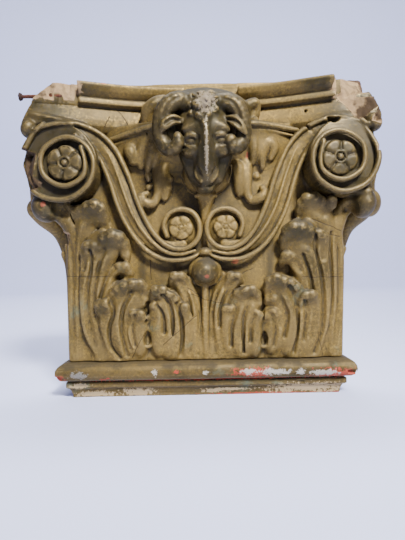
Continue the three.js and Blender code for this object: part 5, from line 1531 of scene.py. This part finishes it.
def whole(name, description, default, low, high):
    """A whole-number setting."""
    return bpy.props.IntProperty(name=name, description=description, default=default, min=low, max=high)


def amount(name, description, default, low, high, **more):
    """A setting that can take any value between two."""
    return bpy.props.FloatProperty(name=name, description=description, default=default, min=low, max=high,
                                   **more)


def tint(name, description, default):
    """A colour setting."""
    return bpy.props.FloatVectorProperty(name=name, description=description, default=default,
                                         subtype="COLOR", min=0, max=1)


class CapitalSizes(bpy.types.PropertyGroup):
    """How finely the pieces are modelled"""
    pitch: amount("Modelling step", "Spacing of the modelling lattice in millimetres",
                  0.85, 0.5, 3.0)
    triangles: whole("Capital triangles", "Triangles kept on the carved body", 194000, 20000, 199000)
    moulding_triangles: whole("Moulding triangles", "Triangles kept on the base moulding",
                              60000, 2000, 199000)


class CapitalColours(bpy.types.PropertyGroup):
    """The colours of the materials"""
    gold: tint("Gold", "The gilding on the plain ground", (0.29, 0.184, 0.041))
    bronze: tint("Bronze", "The darkened gilding on what stands out", (0.034, 0.026, 0.0075))
    dust: tint("Dust", "The dust on ledges", (0.03, 0.026, 0.018))
    plaster: tint("Plaster", "The pale ground that breaks lay open", (0.33, 0.215, 0.103))
    core: tint("Core", "The brown core in the breaks", (0.05, 0.029, 0.012))
    bole: tint("Bole", "The red coat under the gilding", (0.36, 0.04, 0.02))
    rust: tint("Rust", "The nail's rust", (0.055, 0.018, 0.010))
    dustiness: amount("Dustiness", "How thickly dust lies on ledges", 0.95, 0, 1, subtype="FACTOR")


class StageSettings(bpy.types.PropertyGroup):
    """The camera, the floor and the lights"""
    lens: amount("Lens", "Focal length in millimetres", 27.07, 10, 200)
    distance: amount("Distance", "Camera to the flat back", 0.418, 0.1, 5, subtype="DISTANCE", unit="LENGTH")
    eye_height: amount("Eye height", "Camera above the underside", 0.1181, -1, 5, subtype="DISTANCE",
                       unit="LENGTH")
    roll: amount("Roll", "Camera turn about its own axis in degrees", 1.15, -45, 45)
    floor: tint("Floor", "Colour of the floor", (0.60, 0.645, 0.90))
    key_place: bpy.props.FloatVectorProperty(name="Key light place", description="Where the key light hangs",
                                             subtype="TRANSLATION", default=(0.42, -1.02, 1.08))
    key_size: amount("Key light size", "Side of the key light", 0.28, 0.01, 5, subtype="DISTANCE",
                     unit="LENGTH")
    key_power: amount("Key light power", "Power of the key light in watts", 8.5, 0, 1000)
    fill_power: amount("Fill light power", "Power of the soft lights in watts", 1, 0, 1000)
    backdrop_power: amount("Backdrop light power", "Power of the light on the backdrop in watts",
                           150, 0, 1000)
    room_light: amount("Room light", "Strength of the light from all round", 0.13, 0, 10)


def dress(piece, node, material):
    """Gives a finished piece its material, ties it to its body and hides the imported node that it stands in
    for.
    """
    piece.data.materials.clear()
    piece.data.materials.append(material)
    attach(piece, "root")
    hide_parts(node)


class CAPITAL_OT_body(bpy.types.Operator):
    """Model the carved body with its leaves, volutes, abacus and ram's head"""
    bl_idname = "capital.body"
    bl_label = "Carved body"

    def execute(self, context):
        sizes = context.scene.capital_sizes
        piece = model_capital(sizes.pitch, sizes.triangles)
        dress(piece, "capital", gilt_material(context.scene.capital_colours))
        return {"FINISHED"}


class CAPITAL_OT_moulding(bpy.types.Operator):
    """Model the base moulding with its chips"""
    bl_idname = "capital.moulding"
    bl_label = "Base moulding"

    def execute(self, context):
        sizes = context.scene.capital_sizes
        piece = model_moulding(min(sizes.pitch, SMALL_PITCH), sizes.moulding_triangles)
        dress(piece, "base_moulding", moulding_material(context.scene.capital_colours))
        return {"FINISHED"}


class CAPITAL_OT_board(bpy.types.Operator):
    """Model the board behind the abacus"""
    bl_idname = "capital.board"
    bl_label = "Back board"

    def execute(self, context):
        piece = model_board(SMALL_PITCH, BOARD_TRIANGLES)
        dress(piece, "back_board", board_material(context.scene.capital_colours))
        return {"FINISHED"}


class CAPITAL_OT_nail(bpy.types.Operator):
    """Model the rusty nail at the broken corner"""
    bl_idname = "capital.nail"
    bl_label = "Nail"

    def execute(self, context):
        piece = model_nail(NAIL_PITCH, NAIL_TRIANGLES)
        dress(piece, "nail", iron_material(context.scene.capital_colours))
        return {"FINISHED"}


class CAPITAL_OT_stage(bpy.types.Operator):
    """Make the pale floor, the soft lights and the camera"""
    bl_idname = "capital.stage"
    bl_label = "Stage"

    def execute(self, context):
        make_stage(context.scene.capital_stage)
        make_camera(context.scene.capital_stage)
        return {"FINISHED"}


class CAPITAL_PT_panel(bpy.types.Panel):
    """Lists the steps that make the capital"""
    bl_idname = "CAPITAL_PT_panel"
    bl_label = "Gilt capital"
    bl_space_type = "VIEW_3D"
    bl_region_type = "UI"
    bl_category = "Capital"

    def draw(self, context):
        for group in (context.scene.capital_sizes, context.scene.capital_colours,
                      context.scene.capital_stage):
            box = self.layout.box()
            for key in group.__annotations__:
                box.prop(group, key)
        for step in STEPS:
            self.layout.operator(step.bl_idname)


STEPS = (CAPITAL_OT_stage, CAPITAL_OT_body, CAPITAL_OT_moulding, CAPITAL_OT_board, CAPITAL_OT_nail)
CLASSES = (CapitalSizes, CapitalColours, StageSettings, *STEPS, CAPITAL_PT_panel)


def register():
    """Registers the settings, the steps and the panel."""
    for cls in CLASSES:
        bpy.utils.register_class(cls)
    bpy.types.Scene.capital_sizes = bpy.props.PointerProperty(type=CapitalSizes)
    bpy.types.Scene.capital_colours = bpy.props.PointerProperty(type=CapitalColours)
    bpy.types.Scene.capital_stage = bpy.props.PointerProperty(type=StageSettings)


def unregister():
    """Takes them away again."""
    del bpy.types.Scene.capital_sizes
    del bpy.types.Scene.capital_colours
    del bpy.types.Scene.capital_stage
    for cls in reversed(CLASSES):
        bpy.utils.unregister_class(cls)


def main():
    """Makes everything in order."""
    register()
    bpy.ops.capital.stage()
    bpy.ops.capital.body()
    bpy.ops.capital.moulding()
    bpy.ops.capital.board()
    bpy.ops.capital.nail()


if __name__ == "__main__":
    main()
